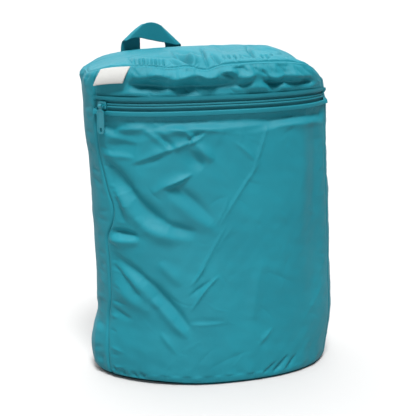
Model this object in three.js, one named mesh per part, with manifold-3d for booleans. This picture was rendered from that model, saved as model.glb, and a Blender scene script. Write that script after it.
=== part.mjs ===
import * as THREE from "three";
import Module from "manifold-3d";

// A cloth wet bag that stands on its oval base. The front is two panels with a zip
// between them, the back is one panel, and an oval panel closes the top.
// Millimetres, +Z up, the front faces -Y, the origin is on the floor under the middle.

const wasm = await Module();
wasm.setup();

// Bag
const bagWidth = 308;
const bagDepth = 176;
const seamHeight = 391;
const baseSeamHeight = 4;
const crownRise = 7.5;
const clothWall = 1.5;

// Room left between two pieces that are sewn or pressed together
const seamGap = 0.4;
const restGap = 0.3;

// Zip
const zipDrop = 47;
const zipSlot = 12;
const tapeWidth = 9;
const tapeWall = 0.8;
const tapeSplit = 3.2;
const chainWidth = 6;
const chainWall = 2.2;
const chainBevel = 0.66;

const crownHeight = seamHeight + crownRise;
const zipHeight = seamHeight - zipDrop;

// Slider and pull
const sliderLength = 11;
const sliderWidth = 9;
const sliderPlate = 1.3;
const sliderInset = 11;
const sliderInnerGap = 0.75;
const sliderNeck = 3;
const noseWidth = 5.6;
const noseRun = 2;
const tailWidth = 7.8;
const tailRun = 1;
const flangeLength = 7.7;
const flangeWall = 1.1;
const weldDepth = 0.2;
const bailWire = 1.3;
const bailReach = 3.6;
const bailInside = 4.4;
const pullLength = 29;
const pullWidth = 9;
const pullWall = 1.5;
const pullRim = 1.1;
const pullRecess = 0.45;
const pullHoleWidth = 3.6;
const pullHoleLength = 5.4;
const pullNeck = 2;
const eyeWall = 1.1;
const hingePlay = 0.35;

// Handle strap
const strapWidth = 23;
const strapWall = 1.6;
const leftLegX = -88;
const rightLegX = -33;
const strapLift = 0.35;
const strapSetBack = 0.8;
const footCut = 6;
const strapColumns = 4;
const strapRows = 42;

// Label
const labelWidth = 36;
const labelDrop = 18.5;
const labelWall = 0.5;
const labelStandOff = 11;
const labelSlant = 8.5;
const labelStart = 9;
const labelSteps = 4;
const labelColumns = 6;
const labelFoldRound = 1.2;

// Gathers along the base seam and puffs under the top seam
const gatherSpacing = 26;
const gatherDepth = 1.3;
const gatherReach = 26;
const gatherPhase = 1;
const puffSpacing = 52;
const puffDepth = 2.2;
const puffReach = 20;
const puffPhase = 2;
const finePuffDepth = 1.32;
const finePuffsMore = 4;

// Mesh fineness
const frontColumns = 36;
const backColumns = 18;
const lowerRows = 22;
const yokeRows = 5;

// Level sections of the bag. Height is a share of seamHeight, left and right are shares
// of half bagWidth, front and back of half bagDepth. Square is the power of the oval on
// each side, 2 for an ellipse. The drops, shares of seamHeight, lower the oval's ends.
const sections = [
  {
    height: 0, left: 0.945, right: 0.95, front: 0.93, back: 0.9,
    squareLeft: 1.85, squareRight: 2.3, dropLeft: 0, dropRight: 0,
  },
  {
    height: 0.03, left: 0.985, right: 0.985, front: 0.965, back: 0.95,
    squareLeft: 1.9, squareRight: 2.4, dropLeft: 0, dropRight: 0,
  },
  {
    height: 0.08, left: 1.0, right: 0.998, front: 0.972, back: 0.96,
    squareLeft: 1.9, squareRight: 2.4, dropLeft: 0, dropRight: 0,
  },
  {
    height: 0.13, left: 0.98, right: 1.003, front: 0.97, back: 0.96,
    squareLeft: 1.95, squareRight: 2.4, dropLeft: 0, dropRight: 0,
  },
  {
    height: 0.19, left: 0.94, right: 1.01, front: 0.965, back: 0.95,
    squareLeft: 2.0, squareRight: 2.4, dropLeft: 0, dropRight: 0,
  },
  {
    height: 0.28, left: 0.936, right: 0.995, front: 0.955, back: 0.93,
    squareLeft: 2.1, squareRight: 2.4, dropLeft: 0, dropRight: 0,
  },
  {
    height: 0.41, left: 0.942, right: 0.978, front: 0.94, back: 0.91,
    squareLeft: 2.15, squareRight: 2.4, dropLeft: 0, dropRight: 0,
  },
  {
    height: 0.54, left: 0.955, right: 0.96, front: 0.915, back: 0.88,
    squareLeft: 2.25, squareRight: 2.4, dropLeft: 0, dropRight: 0,
  },
  {
    height: 0.665, left: 0.963, right: 0.936, front: 0.87, back: 0.83,
    squareLeft: 2.35, squareRight: 2.45, dropLeft: 0, dropRight: 0,
  },
  {
    height: 0.78, left: 0.991, right: 0.922, front: 0.81, back: 0.785,
    squareLeft: 2.45, squareRight: 2.5, dropLeft: 0, dropRight: 0,
  },
  {
    height: 0.85, left: 0.997, right: 0.915, front: 0.765, back: 0.75,
    squareLeft: 2.6, squareRight: 2.6, dropLeft: 0, dropRight: 0,
  },
  {
    height: 0.88, left: 0.999, right: 0.9, front: 0.755, back: 0.74,
    squareLeft: 2.6, squareRight: 2.6, dropLeft: 0, dropRight: 0.002,
  },
  {
    height: 0.91, left: 1.002, right: 0.893, front: 0.752, back: 0.73,
    squareLeft: 2.6, squareRight: 2.6, dropLeft: 0, dropRight: 0.012,
  },
  {
    height: 0.945, left: 1.005, right: 0.882, front: 0.76, back: 0.72,
    squareLeft: 2.6, squareRight: 2.6, dropLeft: 0.006, dropRight: 0.038,
  },
  {
    height: 0.975, left: 0.997, right: 0.868, front: 0.768, back: 0.7,
    squareLeft: 2.6, squareRight: 2.6, dropLeft: 0.02, dropRight: 0.06,
  },
  {
    height: 1.0, left: 0.972, right: 0.84, front: 0.69, back: 0.66,
    squareLeft: 2.6, squareRight: 2.6, dropLeft: 0.033, dropRight: 0.08,
  },
];
const dropPowerLeft = 9;
const dropPowerRight = 8;

// Left side seam: how far forward it runs, as a share of the front half depth
const leftSeam = [
  { height: 0.0, forward: 0.42 },
  { height: 0.11, forward: 0.42 },
  { height: 0.195, forward: 0.36 },
  { height: 0.27, forward: 0.42 },
  { height: 0.4, forward: 0.435 },
  { height: 0.465, forward: 0.44 },
  { height: 0.52, forward: 0.54 },
  { height: 0.57, forward: 0.57 },
  { height: 0.63, forward: 0.51 },
  { height: 0.74, forward: 0.455 },
  { height: 0.88, forward: 0.505 },
  { height: 1.0, forward: 0.51 },
];
const rightSeamForward = 0.46;

// Folds of the front. X is a share of half bagWidth and Z of seamHeight, at the start,
// the middle and the end of each fold. Width and rise are in mm, a valley sinks.
const frontFolds = [
  { x1: -0.9, z1: 0.826, x2: -0.25, z2: 0.818, x3: 0.5, z3: 0.838, width: 7, rise: -3 },
  { x1: -0.9, z1: 0.795, x2: -0.25, z2: 0.79, x3: 0.5, z3: 0.81, width: 8, rise: 2 },
  { x1: -0.92, z1: 0.742, x2: -0.69, z2: 0.616, x3: -0.27, z3: 0.503, width: 10, rise: -5 },
  { x1: -0.92, z1: 0.69, x2: -0.73, z2: 0.57, x3: -0.3, z3: 0.465, width: 10, rise: 3.5 },
  { x1: -0.9, z1: 0.657, x2: -0.79, z2: 0.56, x3: -0.7, z3: 0.506, width: 8, rise: -3 },
  { x1: -0.86, z1: 0.473, x2: -0.6, z2: 0.36, x3: -0.31, z3: 0.19, width: 10, rise: -5 },
  { x1: -0.87, z1: 0.42, x2: -0.66, z2: 0.31, x3: -0.36, z3: 0.16, width: 10, rise: 3.5 },
  { x1: -0.89, z1: 0.43, x2: -0.75, z2: 0.345, x3: -0.59, z3: 0.26, width: 8, rise: -2.5 },
  { x1: -0.61, z1: 0.688, x2: -0.44, z2: 0.662, x3: -0.26, z3: 0.685, width: 8, rise: 2 },
  { x1: -0.41, z1: 0.64, x2: -0.2, z2: 0.58, x3: -0.06, z3: 0.52, width: 9, rise: 2.5 },
  { x1: 0.35, z1: 0.82, x2: 0.19, z2: 0.69, x3: -0.03, z3: 0.53, width: 7, rise: 1.6 },
  { x1: 0.2, z1: 0.66, x2: 0.02, z2: 0.517, x3: -0.2, z3: 0.32, width: 8, rise: 1.6 },
  { x1: 0.72, z1: 0.72, x2: 0.76, z2: 0.5, x3: 0.74, z3: 0.25, width: 12, rise: -2 },
];

// Folds of the back: a few soft upright ones, in the same columns
const backFolds = [
  { x1: -0.6, z1: 0.85, x2: -0.5, z2: 0.55, x3: -0.55, z3: 0.2, width: 16, rise: -3 },
  { x1: 0.1, z1: 0.8, x2: 0.02, z2: 0.5, x3: 0.12, z3: 0.25, width: 16, rise: -2.5 },
  { x1: 0.62, z1: 0.75, x2: 0.55, z2: 0.5, x3: 0.6, z3: 0.15, width: 16, rise: -3 },
];

// Dents of the top panel: X is a share of half bagWidth and Y of half bagDepth
const topFolds = [
  { x1: -0.28, y1: 0.02, x2: -0.2, y2: -0.18, x3: -0.1, y3: -0.4, width: 8, rise: -3.5 },
  { x1: -0.55, y1: -0.3, x2: -0.35, y2: -0.38, x3: -0.2, y3: -0.3, width: 7, rise: -2 },
  { x1: 0.08, y1: 0.3, x2: 0.1, y2: 0.0, x3: 0.13, y3: -0.4, width: 8, rise: -2.5 },
  { x1: 0.35, y1: 0.3, x2: 0.42, y2: -0.05, x3: 0.52, y3: -0.4, width: 9, rise: -2.5 },
];

// Handle strap, in its left foot's frame with X to the right foot. It rises, rolls forward
// over a slanting line, runs to the right and rolls back into its right leg. Edge a starts
// as the outer edge and edge b as the inner one. Along is a share of the strap's length,
// the rest are shares of strapWidth, and bow lifts the middle between the two edges.
const strapPath = [
  { along: 0, ax: -0.574, ay: 0, az: 0, bx: 0.478, by: 0, bz: 0, bow: 0 },
  { along: 0.093, ax: -0.552, ay: 0, az: 0.261, bx: 0.474, by: 0, bz: 0.522, bow: 0 },
  { along: 0.175, ax: -0.496, ay: -0.026, az: 0.448, bx: 0.474, by: -0.013, bz: 1.043, bow: 0.026 },
  { along: 0.242, ax: -0.43, ay: -0.174, az: 0.548, bx: 0.504, by: -0.165, bz: 1.313, bow: 0.052 },
  { along: 0.286, ax: -0.374, ay: -0.33, az: 0.539, bx: 0.591, by: -0.322, bz: 1.391, bow: 0.026 },
  { along: 0.344, ax: -0.109, ay: -0.365, az: 0.665, bx: 0.722, by: -0.339, bz: 1.443, bow: 0 },
  { along: 0.42, ax: 0.304, ay: -0.365, az: 0.704, bx: 0.896, by: -0.33, bz: 1.478, bow: 0 },
  { along: 0.501, ax: 0.826, ay: -0.348, az: 0.583, bx: 1.087, by: -0.322, bz: 1.474, bow: 0 },
  { along: 0.586, ax: 1.348, ay: -0.33, az: 0.461, bx: 1.27, by: -0.304, bz: 1.435, bow: 0 },
  { along: 0.668, ax: 1.87, ay: -0.313, az: 0.348, bx: 1.426, by: -0.296, bz: 1.365, bow: 0 },
  { along: 0.75, ax: 2.413, ay: -0.287, az: 0.213, bx: 1.548, by: -0.27, bz: 1.278, bow: 0 },
  { along: 0.802, ax: 2.678, ay: -0.139, az: 0.2, bx: 1.635, by: -0.139, bz: 1.2, bow: 0.013 },
  { along: 0.847, ax: 2.73, ay: 0, az: 0.104, bx: 1.696, by: 0, bz: 1.043, bow: 0.009 },
  { along: 0.947, ax: 2.757, ay: 0.013, az: 0.06, bx: 1.839, by: 0.009, bz: 0.348, bow: 0 },
  { along: 1, ax: 2.774, ay: 0.013, az: 0.025, bx: 1.913, by: 0.009, bz: 0.025, bow: 0 },
];

// Small helpers
const clamp01 = (value) => Math.min(1, Math.max(0, value));
const ease = (value) => clamp01(value) ** 2 * (3 - 2 * clamp01(value));
const mix = (from, to, share) => from + (to - from) * share;

// Smooth curve through the rows of a table: the value of a column where key is at
function tableValue(rows, column, place, key = "height") {
  const last = rows.length - 1;
  const at = clamp01(place);
  let row = 0;
  while (row < last - 1 && rows[row + 1][key] < at) row += 1;
  const slope = (index) => {
    const low = rows[Math.max(0, index - 1)];
    const high = rows[Math.min(last, index + 1)];
    return (high[column] - low[column]) / (high[key] - low[key]);
  };
  const step = rows[row + 1][key] - rows[row][key];
  const t = (at - rows[row][key]) / step;
  const start = rows[row][column] * (1 + 2 * t) * (1 - t) ** 2;
  const end = rows[row + 1][column] * t * t * (3 - 2 * t);
  const bend = step * (slope(row) * t * (1 - t) ** 2 - slope(row + 1) * t * t * (1 - t));
  return start + end + bend;
}

// One level loop of the wall, as two lists of points at even steps of length:
// the front from the left seam to the right seam, and the back round to the left again
const loopSteps = 400;
const loops = new Map();
function wallLoop(level) {
  const key = level.toFixed(4);
  if (loops.has(key)) return loops.get(key);
  const height = level / seamHeight;
  const value = (column) => tableValue(sections, column, height);
  const halfWidth = bagWidth / 2;
  const halfDepth = bagDepth / 2;
  const size = {
    left: value("left") * halfWidth,
    right: value("right") * halfWidth,
    front: value("front") * halfDepth,
    back: value("back") * halfDepth,
  };
  const powerLeft = 2 / value("squareLeft");
  const powerRight = 2 / value("squareRight");
  const dropLeft = value("dropLeft");
  const dropRight = value("dropRight");
  const point = (angle) => {
    const across = Math.cos(angle);
    const along = Math.sin(angle);
    const power = across < 0 ? powerLeft : powerRight;
    const drop = across < 0 ? dropLeft : dropRight;
    const x = Math.sign(across) * Math.abs(across) ** power;
    const y = Math.sign(along) * Math.abs(along) ** power;
    return new THREE.Vector3(
      x * (across < 0 ? size.left : size.right),
      y * (along < 0 ? size.front : size.back),
      level - drop * seamHeight * Math.abs(x) ** (across < 0 ? dropPowerLeft : dropPowerRight),
    );
  };
  const leftForward = tableValue(leftSeam, "forward", height);
  const leftAngle = Math.PI + Math.asin(leftForward ** (1 / powerLeft));
  const rightAngle = 2 * Math.PI - Math.asin(rightSeamForward ** (1 / powerRight));
  const run = (from, to) => {
    const points = [];
    const lengths = [0];
    for (let i = 0; i <= loopSteps; i += 1) {
      points.push(point(mix(from, to, i / loopSteps)));
      if (i > 0) lengths.push(lengths[i - 1] + points[i].distanceTo(points[i - 1]));
    }
    return { points, lengths, total: lengths[loopSteps] };
  };
  const loop = { front: run(leftAngle, rightAngle), back: run(rightAngle, leftAngle + 2 * Math.PI) };
  loops.set(key, loop);
  return loop;
}

// A point of a level loop: around is 0 to 1 on the front and 1 to 2 on the back
function loopPoint(around, level) {
  const turn = ((around % 2) + 2) % 2;
  const loop = wallLoop(level);
  const side = turn <= 1 ? loop.front : loop.back;
  const length = (turn <= 1 ? turn : turn - 1) * side.total;
  let low = 0;
  let high = loopSteps;
  while (high - low > 1) {
    const middle = (low + high) >> 1;
    if (side.lengths[middle] <= length) low = middle;
    else high = middle;
  }
  const share = (length - side.lengths[low]) / (side.lengths[high] - side.lengths[low]);
  return side.points[low].clone().lerp(side.points[high], share);
}

// Height of a fold's smooth ridge or valley at a place (a, b) of the cloth
const foldSteps = 10;
const foldEndShare = 0.35;
function foldRise(fold, start, middle, end, a, b) {
  let nearest = Infinity;
  let nearestShare = 0;
  let before = start;
  for (let i = 1; i <= foldSteps; i += 1) {
    const t = i / foldSteps;
    const bent = (n) => (1 - t) ** 2 * start[n] + 2 * t * (1 - t) * middle[n] + t * t * end[n];
    const next = [bent(0), bent(1)];
    const run = [next[0] - before[0], next[1] - before[1]];
    const along = ((a - before[0]) * run[0] + (b - before[1]) * run[1]) / (run[0] ** 2 + run[1] ** 2);
    const share = clamp01(along);
    const gap = Math.hypot(a - before[0] - share * run[0], b - before[1] - share * run[1]);
    if (gap < nearest) {
      nearest = gap;
      nearestShare = (i - 1 + share) / foldSteps;
    }
    before = next;
  }
  const taper = mix(foldEndShare, 1, Math.sin(Math.PI * nearestShare));
  return fold.rise * taper * Math.exp(-((nearest / fold.width) ** 2));
}

// How far the wall's cloth stands out of its smooth section
const sideFade = 0.035;
const seamFade = 9;
const zipFade = 10;
function wallRelief(around, level, place) {
  const turn = ((around % 2) + 2) % 2;
  const onFront = turn <= 1;
  const share = onFront ? turn : turn - 1;
  const calm = ease(Math.min(share, 1 - share) / sideFade);
  const fromBase = level - baseSeamHeight;
  const fromTop = seamHeight - level;
  const fromZip = Math.abs(level - zipHeight) - tapeSplit / 2 - tapeWidth;
  const zipCalm = onFront ? ease(fromZip / zipFade) : 1;
  const half = bagWidth / 2;
  let rise = 0;
  for (const fold of onFront ? frontFolds : backFolds) {
    const start = [fold.x1 * half, fold.z1 * seamHeight];
    const middle = [fold.x2 * half, fold.z2 * seamHeight];
    const end = [fold.x3 * half, fold.z3 * seamHeight];
    const control = [2 * middle[0] - (start[0] + end[0]) / 2, 2 * middle[1] - (start[1] + end[1]) / 2];
    rise += foldRise(fold, start, control, end, place.x, level);
  }
  const length = wallLoop(level)[onFront ? "front" : "back"].total;
  const wave = (count, phase) => Math.sin(2 * Math.PI * count * share + phase);
  const gathers = wave(Math.round(length / gatherSpacing), gatherPhase);
  rise += gatherDepth * gathers * Math.exp(-fromBase / gatherReach);
  const puffs = Math.round(length / puffSpacing);
  const puff = puffDepth * wave(puffs, puffPhase) + finePuffDepth * wave(puffs + finePuffsMore, 0);
  const pastLabel = onFront ? ease((length * share - labelWidth) / puffSpacing) : 1;
  rise += puff * ease((level - zipHeight - tapeWidth) / puffReach) * pastLabel;
  return rise * calm * zipCalm * ease(fromBase / seamFade) * ease(fromTop / seamFade);
}

// The wall's smooth normal, level all round
const sideStep = 0.002;
function loopOutward(around, level) {
  const before = loopPoint(around - sideStep, level);
  const after = loopPoint(around + sideStep, level);
  return new THREE.Vector3(after.y - before.y, before.x - after.x, 0).normalize();
}

// Outer face of the wall
function wallPoint(around, level) {
  const place = loopPoint(around, level);
  return place.addScaledVector(loopOutward(around, level), wallRelief(around, level, place));
}

// Outer face of the top panel: inward is 0 at its seam and 1 in its middle
const topRiseLeft = 2.8;
const topRiseRight = 4;
const topSeamCalm = 0.12;
function topPoint(around, inward) {
  const edge = wallPoint(around, seamHeight);
  const x = edge.x * (1 - inward);
  const y = edge.y * (1 - inward);
  const power = mix(topRiseLeft, topRiseRight, clamp01(0.5 + edge.x / bagWidth));
  let z = mix(edge.z, crownHeight, 1 - (1 - inward) ** power);
  for (const fold of topFolds) {
    const start = [(fold.x1 * bagWidth) / 2, (fold.y1 * bagDepth) / 2];
    const middle = [(fold.x2 * bagWidth) / 2, (fold.y2 * bagDepth) / 2];
    const end = [(fold.x3 * bagWidth) / 2, (fold.y3 * bagDepth) / 2];
    z += foldRise(fold, start, middle, end, x, y) * ease(inward / topSeamCalm);
  }
  return new THREE.Vector3(x, y, z);
}

// Outer face of the base panel, flat on the floor apart from its edge
const baseRoll = 0.08;
function basePoint(around, inward) {
  const edge = wallPoint(around, baseSeamHeight);
  const z = baseSeamHeight * (1 - ease(inward / baseRoll));
  return new THREE.Vector3(edge.x * (1 - inward), edge.y * (1 - inward), z);
}

// The whole outer face: level runs from the base panel's middle at baseSeamHeight - 100
// up the wall to the top panel's middle at seamHeight + 100
const panelSpan = 100;
function skin(around, level) {
  if (level > seamHeight) return topPoint(around, (level - seamHeight) / panelSpan);
  if (level < baseSeamHeight) return basePoint(around, (baseSeamHeight - level) / panelSpan);
  return wallPoint(around, level);
}

const levelStep = 0.6;
function skinNormal(around, level) {
  const across = skin(around + sideStep, level).sub(skin(around - sideStep, level));
  const up = skin(around, level + levelStep).sub(skin(around, level - levelStep));
  return across.cross(up).normalize();
}

// A point at a height above the outer face, below it where the height is negative.
// Both panels of a round seam lean the same way there, so their edges stay apart.
function offSkin(around, level, out) {
  const seam = [baseSeamHeight, seamHeight].find((height) => Math.abs(level - height) < seamGap);
  return skin(around, level).addScaledVector(skinNormal(around, seam ?? level), out);
}

// Mesh from lists of corners and triangles
function toGeometry(corners, triangles) {
  const geometry = new THREE.BufferGeometry();
  const flat = corners.flatMap((corner) => [corner.x, corner.y, corner.z]);
  geometry.setAttribute("position", new THREE.Float32BufferAttribute(flat, 3));
  geometry.setIndex(triangles.flat());
  geometry.computeVertexNormals();
  return geometry;
}

// Closed sheet between an outer and an inner grid, each a function of column and row
function sheetGeometry(columns, rows, outer, inner) {
  const corners = [];
  const triangles = [];
  const wide = columns + 1;
  for (const face of [outer, inner]) {
    for (let row = 0; row <= rows; row += 1) {
      for (let column = 0; column <= columns; column += 1) corners.push(face(column, row));
    }
  }
  const back = wide * (rows + 1);
  const square = (a, b, c, d) => triangles.push([a, b, c], [a, c, d]);
  for (let row = 0; row < rows; row += 1) {
    for (let column = 0; column < columns; column += 1) {
      const at = row * wide + column;
      square(at + 1, at + wide + 1, at + wide, at);
      square(back + at, back + at + wide, back + at + wide + 1, back + at + 1);
    }
  }
  for (let column = 0; column < columns; column += 1) {
    const top = rows * wide + column;
    square(column, back + column, back + column + 1, column + 1);
    square(top, top + 1, back + top + 1, back + top);
  }
  for (let row = 0; row < rows; row += 1) {
    const left = row * wide;
    const right = left + columns;
    square(left, left + wide, back + left + wide, back + left);
    square(right, back + right, back + right + wide, right + wide);
  }
  return toGeometry(corners, triangles);
}

// A panel of the wall between two seams and two levels
function wallPanel(from, to, columns, levels) {
  const reach = (column) => {
    const share = column / columns;
    const length = wallLoop(zipHeight)[from < 1 ? "front" : "back"].total;
    const edge = seamGap / 2 / length;
    return from + mix(edge, 1 - edge, share) * (to - from);
  };
  return sheetGeometry(
    columns,
    levels.length - 1,
    (column, row) => offSkin(reach(column), levels[row], 0),
    (column, row) => offSkin(reach(column), levels[row], -clothWall),
  );
}

// A round panel, the top or the base, in rings from its seam to its middle
function roundPanel(rings, levelAt, middleFace, pointsUp, wall) {
  const corners = [];
  const triangles = [];
  const count = frontColumns + backColumns;
  const around = (index) => {
    const turn = index % count;
    return turn <= frontColumns ? turn / frontColumns : 1 + (turn - frontColumns) / backColumns;
  };
  for (const out of [0, -wall]) {
    for (const ring of rings) {
      for (let index = 0; index < count; index += 1) {
        corners.push(offSkin(around(index), levelAt(ring), out));
      }
    }
    const middle = skin(0, levelAt(1));
    corners.push(new THREE.Vector3(middle.x, middle.y, middleFace + (pointsUp ? out : -out)));
  }
  const face = rings.length * count + 1;
  const flip = (a, b, c) => triangles.push(pointsUp ? [a, b, c] : [a, c, b]);
  for (let index = 0; index < count; index += 1) {
    const next = (index + 1) % count;
    for (let ring = 0; ring < rings.length - 1; ring += 1) {
      const a = ring * count + index;
      const b = ring * count + next;
      flip(a, b, b + count);
      flip(a, b + count, a + count);
      flip(face + a, face + b + count, face + b);
      flip(face + a, face + a + count, face + b + count);
    }
    const inner = (rings.length - 1) * count;
    flip(inner + index, inner + next, face - 1);
    flip(face + inner + index, 2 * face - 1, face + inner + next);
    flip(index, face + index, face + next);
    flip(index, face + next, next);
  }
  return toGeometry(corners, triangles);
}

// A strip along the zip from one place to another, its outline given as heights above
// and below the zip's middle and distances out of the cloth's outer face
function zipStrip(from, to, steps, outline) {
  const corners = [];
  const triangles = [];
  for (let step = 0; step <= steps; step += 1) {
    const around = mix(from, to, step / steps);
    for (const [rise, out] of outline) corners.push(offSkin(around, zipHeight + rise, out));
  }
  const count = outline.length;
  for (let step = 0; step < steps; step += 1) {
    for (let index = 0; index < count; index += 1) {
      const next = (index + 1) % count;
      const a = step * count + index;
      const b = step * count + next;
      triangles.push([a, a + count, b + count], [a, b + count, b]);
    }
  }
  const last = steps * count;
  for (let index = 1; index < count - 1; index += 1) {
    triangles.push([0, index, index + 1], [last, last + index + 1, last + index]);
  }
  return toGeometry(corners, triangles);
}

// Solids for joins and cuts
function toSolid(geometry) {
  const index = geometry.index ? Array.from(geometry.index.array) : null;
  const position = geometry.attributes.position;
  const count = index ? index.length : position.count;
  const known = new Map();
  const vertices = [];
  const triangles = [];
  for (let i = 0; i < count; i += 1) {
    const at = index ? index[i] : i;
    const place = [position.getX(at), position.getY(at), position.getZ(at)];
    const key = place.map((value) => Math.round(value * 1e5)).join(" ");
    if (!known.has(key)) {
      known.set(key, vertices.length / 3);
      vertices.push(...place);
    }
    triangles.push(known.get(key));
  }
  return new wasm.Manifold(new wasm.Mesh({
    numProp: 3,
    vertProperties: new Float32Array(vertices),
    triVerts: new Uint32Array(triangles),
  }));
}

function fromSolid(solid) {
  const mesh = solid.getMesh();
  const geometry = new THREE.BufferGeometry();
  geometry.setAttribute("position", new THREE.Float32BufferAttribute(mesh.vertProperties, 3));
  geometry.setIndex(Array.from(mesh.triVerts));
  geometry.computeVertexNormals();
  return geometry;
}

// A flat plate cut from an outline in X and Z, its thickness along Y
function plate(shape, thickness, middleY) {
  const settings = { depth: thickness, bevelEnabled: false, curveSegments: 6 };
  const geometry = new THREE.ExtrudeGeometry(shape, settings);
  geometry.rotateX(Math.PI / 2);
  geometry.translate(0, middleY + thickness / 2, 0);
  return toSolid(geometry);
}

// Outline with round ends, between two heights
function slotShape(width, low, high) {
  const radius = width / 2;
  const shape = new THREE.Shape();
  shape.absarc(0, high - radius, radius, 0, Math.PI, false);
  shape.absarc(0, low + radius, radius, Math.PI, 2 * Math.PI, false);
  shape.closePath();
  return shape;
}

// Levels of the panels
function levelsBetween(low, high, rows, bias) {
  const levels = [];
  for (let row = 0; row <= rows; row += 1) levels.push(mix(low, high, bias(row / rows)));
  return levels;
}
const slotLow = zipHeight - zipSlot / 2;
const slotHigh = zipHeight + zipSlot / 2;
const even = (share) => share;
const rowPower = 1.6;
const rowBlend = 0.6;
const denserAtStart = (share) => mix(share, share ** rowPower, rowBlend);
const tapeReach = tapeSplit / 2 + tapeWidth;
const lowerLevels = [
  ...levelsBetween(baseSeamHeight + seamGap / 2, zipHeight - tapeReach, lowerRows - 1, denserAtStart),
  slotLow,
];
const yokeLevels = [
  slotHigh,
  ...levelsBetween(zipHeight + tapeReach, seamHeight - seamGap / 2, yokeRows - 1, even),
];

// Cloth panels
function frontPanel() {
  return wallPanel(0, 1, frontColumns, lowerLevels);
}

function frontYoke() {
  return wallPanel(0, 1, frontColumns, yokeLevels);
}

function backPanel() {
  return wallPanel(1, 2, backColumns, [...lowerLevels, ...yokeLevels]);
}

const edgeShare = seamGap / bagDepth;
const topRings = [edgeShare, 0.06, 0.14, 0.28, 0.5, 0.75];
const baseRings = [edgeShare, 0.04, baseRoll];
function topPanel(wall) {
  return roundPanel(topRings, (ring) => seamHeight + ring * panelSpan, crownHeight, true, wall);
}

function basePanel() {
  return roundPanel(baseRings, (ring) => baseSeamHeight - ring * panelSpan, 0, false, clothWall);
}

// Zip: two tapes behind the cloth's edges and the chain in front of the split
const tapeFace = -clothWall - restGap;
const frontLength = wallLoop(zipHeight).front.total;
const seamPlay = seamGap / frontLength;
function zipTape(side) {
  const near = tapeSplit / 2;
  const far = near + tapeWidth;
  const back = tapeFace - tapeWall;
  const outline = [[near, tapeFace], [far, tapeFace], [far, back], [near, back]];
  const turned = outline.map(([rise, out]) => [side * rise, out]);
  if (side < 0) turned.reverse();
  return zipStrip(seamPlay, 1 - seamPlay, frontColumns, turned);
}

const sliderPlace = sliderInset / frontLength;
const chainStart = (sliderInset + sliderLength / 2 + restGap) / frontLength;
function zipChain() {
  const low = tapeFace + restGap;
  const high = low + chainWall;
    const half = chainWidth / 2;
  const outline = [
    [-half, low],
    [-half, high - chainBevel],
    [-half + chainBevel, high],
    [half - chainBevel, high],
    [half, high - chainBevel],
    [half, low],
  ];
  return zipStrip(chainStart, 1 - seamPlay, frontColumns, outline);
}

// Slider, in its own frame: X along the zip, -Y out of the cloth, Z up
const chainFace = -(tapeFace + restGap + chainWall);
const plateBack = chainFace - restGap;
const plateFront = plateBack - sliderPlate;
const bailAxis = plateFront - bailReach;
function sliderShape() {
  const half = sliderWidth / 2;
  const end = sliderLength / 2;
  const shape = new THREE.Shape();
  shape.moveTo(-end, -noseWidth / 2);
  shape.lineTo(-end + noseRun, -half);
  shape.lineTo(end - tailRun, -tailWidth / 2);
  shape.lineTo(end, -noseWidth / 2);
  shape.lineTo(end, noseWidth / 2);
  shape.lineTo(end - tailRun, tailWidth / 2);
  shape.lineTo(-end + noseRun, half);
  shape.lineTo(-end, noseWidth / 2);
  shape.closePath();
  return shape;
}

// A block between two values of Y, its middle at x and z
function blockBetween(sizeX, fromY, toY, sizeZ, x, z) {
  const box = new THREE.BoxGeometry(sizeX, toY - fromY, sizeZ);
  return toSolid(box.translate(x, (fromY + toY) / 2, z));
}

function zipSlider() {
  const flangeBack = -tapeFace - restGap;
  const innerFace = -tapeFace + tapeWall + sliderInnerGap;
  const outerPlate = plate(sliderShape(), sliderPlate, (plateBack + plateFront) / 2);
  const innerPlate = plate(sliderShape(), sliderPlate, innerFace + sliderPlate / 2);
  const neckHeight = tapeSplit - 2 * restGap;
  const neckFrom = plateBack - weldDepth;
  const neck = blockBetween(sliderNeck, neckFrom, innerFace + weldDepth, neckHeight, -sliderNeck, 0);
  let solid = outerPlate.add(innerPlate).add(neck);
  const legX = (bailInside + bailWire) / 2;
  const flangeZ = (sliderWidth - flangeWall) / 2;
  const legFrom = bailAxis - bailWire / 2;
  for (const side of [-1, 1]) {
    const flangeFrom = plateBack - weldDepth;
    solid = solid.add(blockBetween(flangeLength, flangeFrom, flangeBack, flangeWall, 0, side * flangeZ));
    solid = solid.add(blockBetween(bailWire, legFrom, plateFront + weldDepth, bailWire, side * legX, 0));
  }
  const bar = new THREE.CylinderGeometry(bailWire / 2, bailWire / 2, 2 * legX, 12);
  bar.rotateZ(Math.PI / 2);
  bar.translate(0, bailAxis, 0);
  return fromSolid(solid.add(toSolid(bar)));
}

// Pull, in its hinge's frame: the eye turns on the bail's bar and the tab hangs down
const eyeInner = bailWire / 2 + hingePlay;
const eyeOuter = eyeInner + eyeWall;
const eyeWidth = bailInside - 2 * hingePlay;
function zipPull() {
  const eye = new THREE.CylinderGeometry(eyeOuter, eyeOuter, eyeWidth, 16).rotateZ(Math.PI / 2);
  const bore = new THREE.CylinderGeometry(eyeInner, eyeInner, 2 * eyeWidth, 16).rotateZ(Math.PI / 2);
  const high = -eyeOuter - bailWire - hingePlay;
  const low = high - pullLength;
  const recessShape = slotShape(pullWidth - 2 * pullRim, low + pullRim, high - pullRim);
  const holeLow = low + 2 * pullRim;
  const holeShape = slotShape(pullHoleWidth, holeLow, holeLow + pullHoleLength);
  const tab = plate(slotShape(pullWidth, low, high), pullWall, 0);
  const recess = plate(recessShape, pullWall, pullRecess - pullWall);
  const hole = plate(holeShape, 4 * pullWall, 0);
  const neckLow = high - pullNeck;
  const half = pullWall / 2;
  const neck = blockBetween(eyeWidth, -half, half, -eyeInner - neckLow, 0, (neckLow - eyeInner) / 2);
  const body = tab.subtract(recess).subtract(hole).add(neck).add(toSolid(eye));
  return fromSolid(body.subtract(toSolid(bore)));
}

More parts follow.
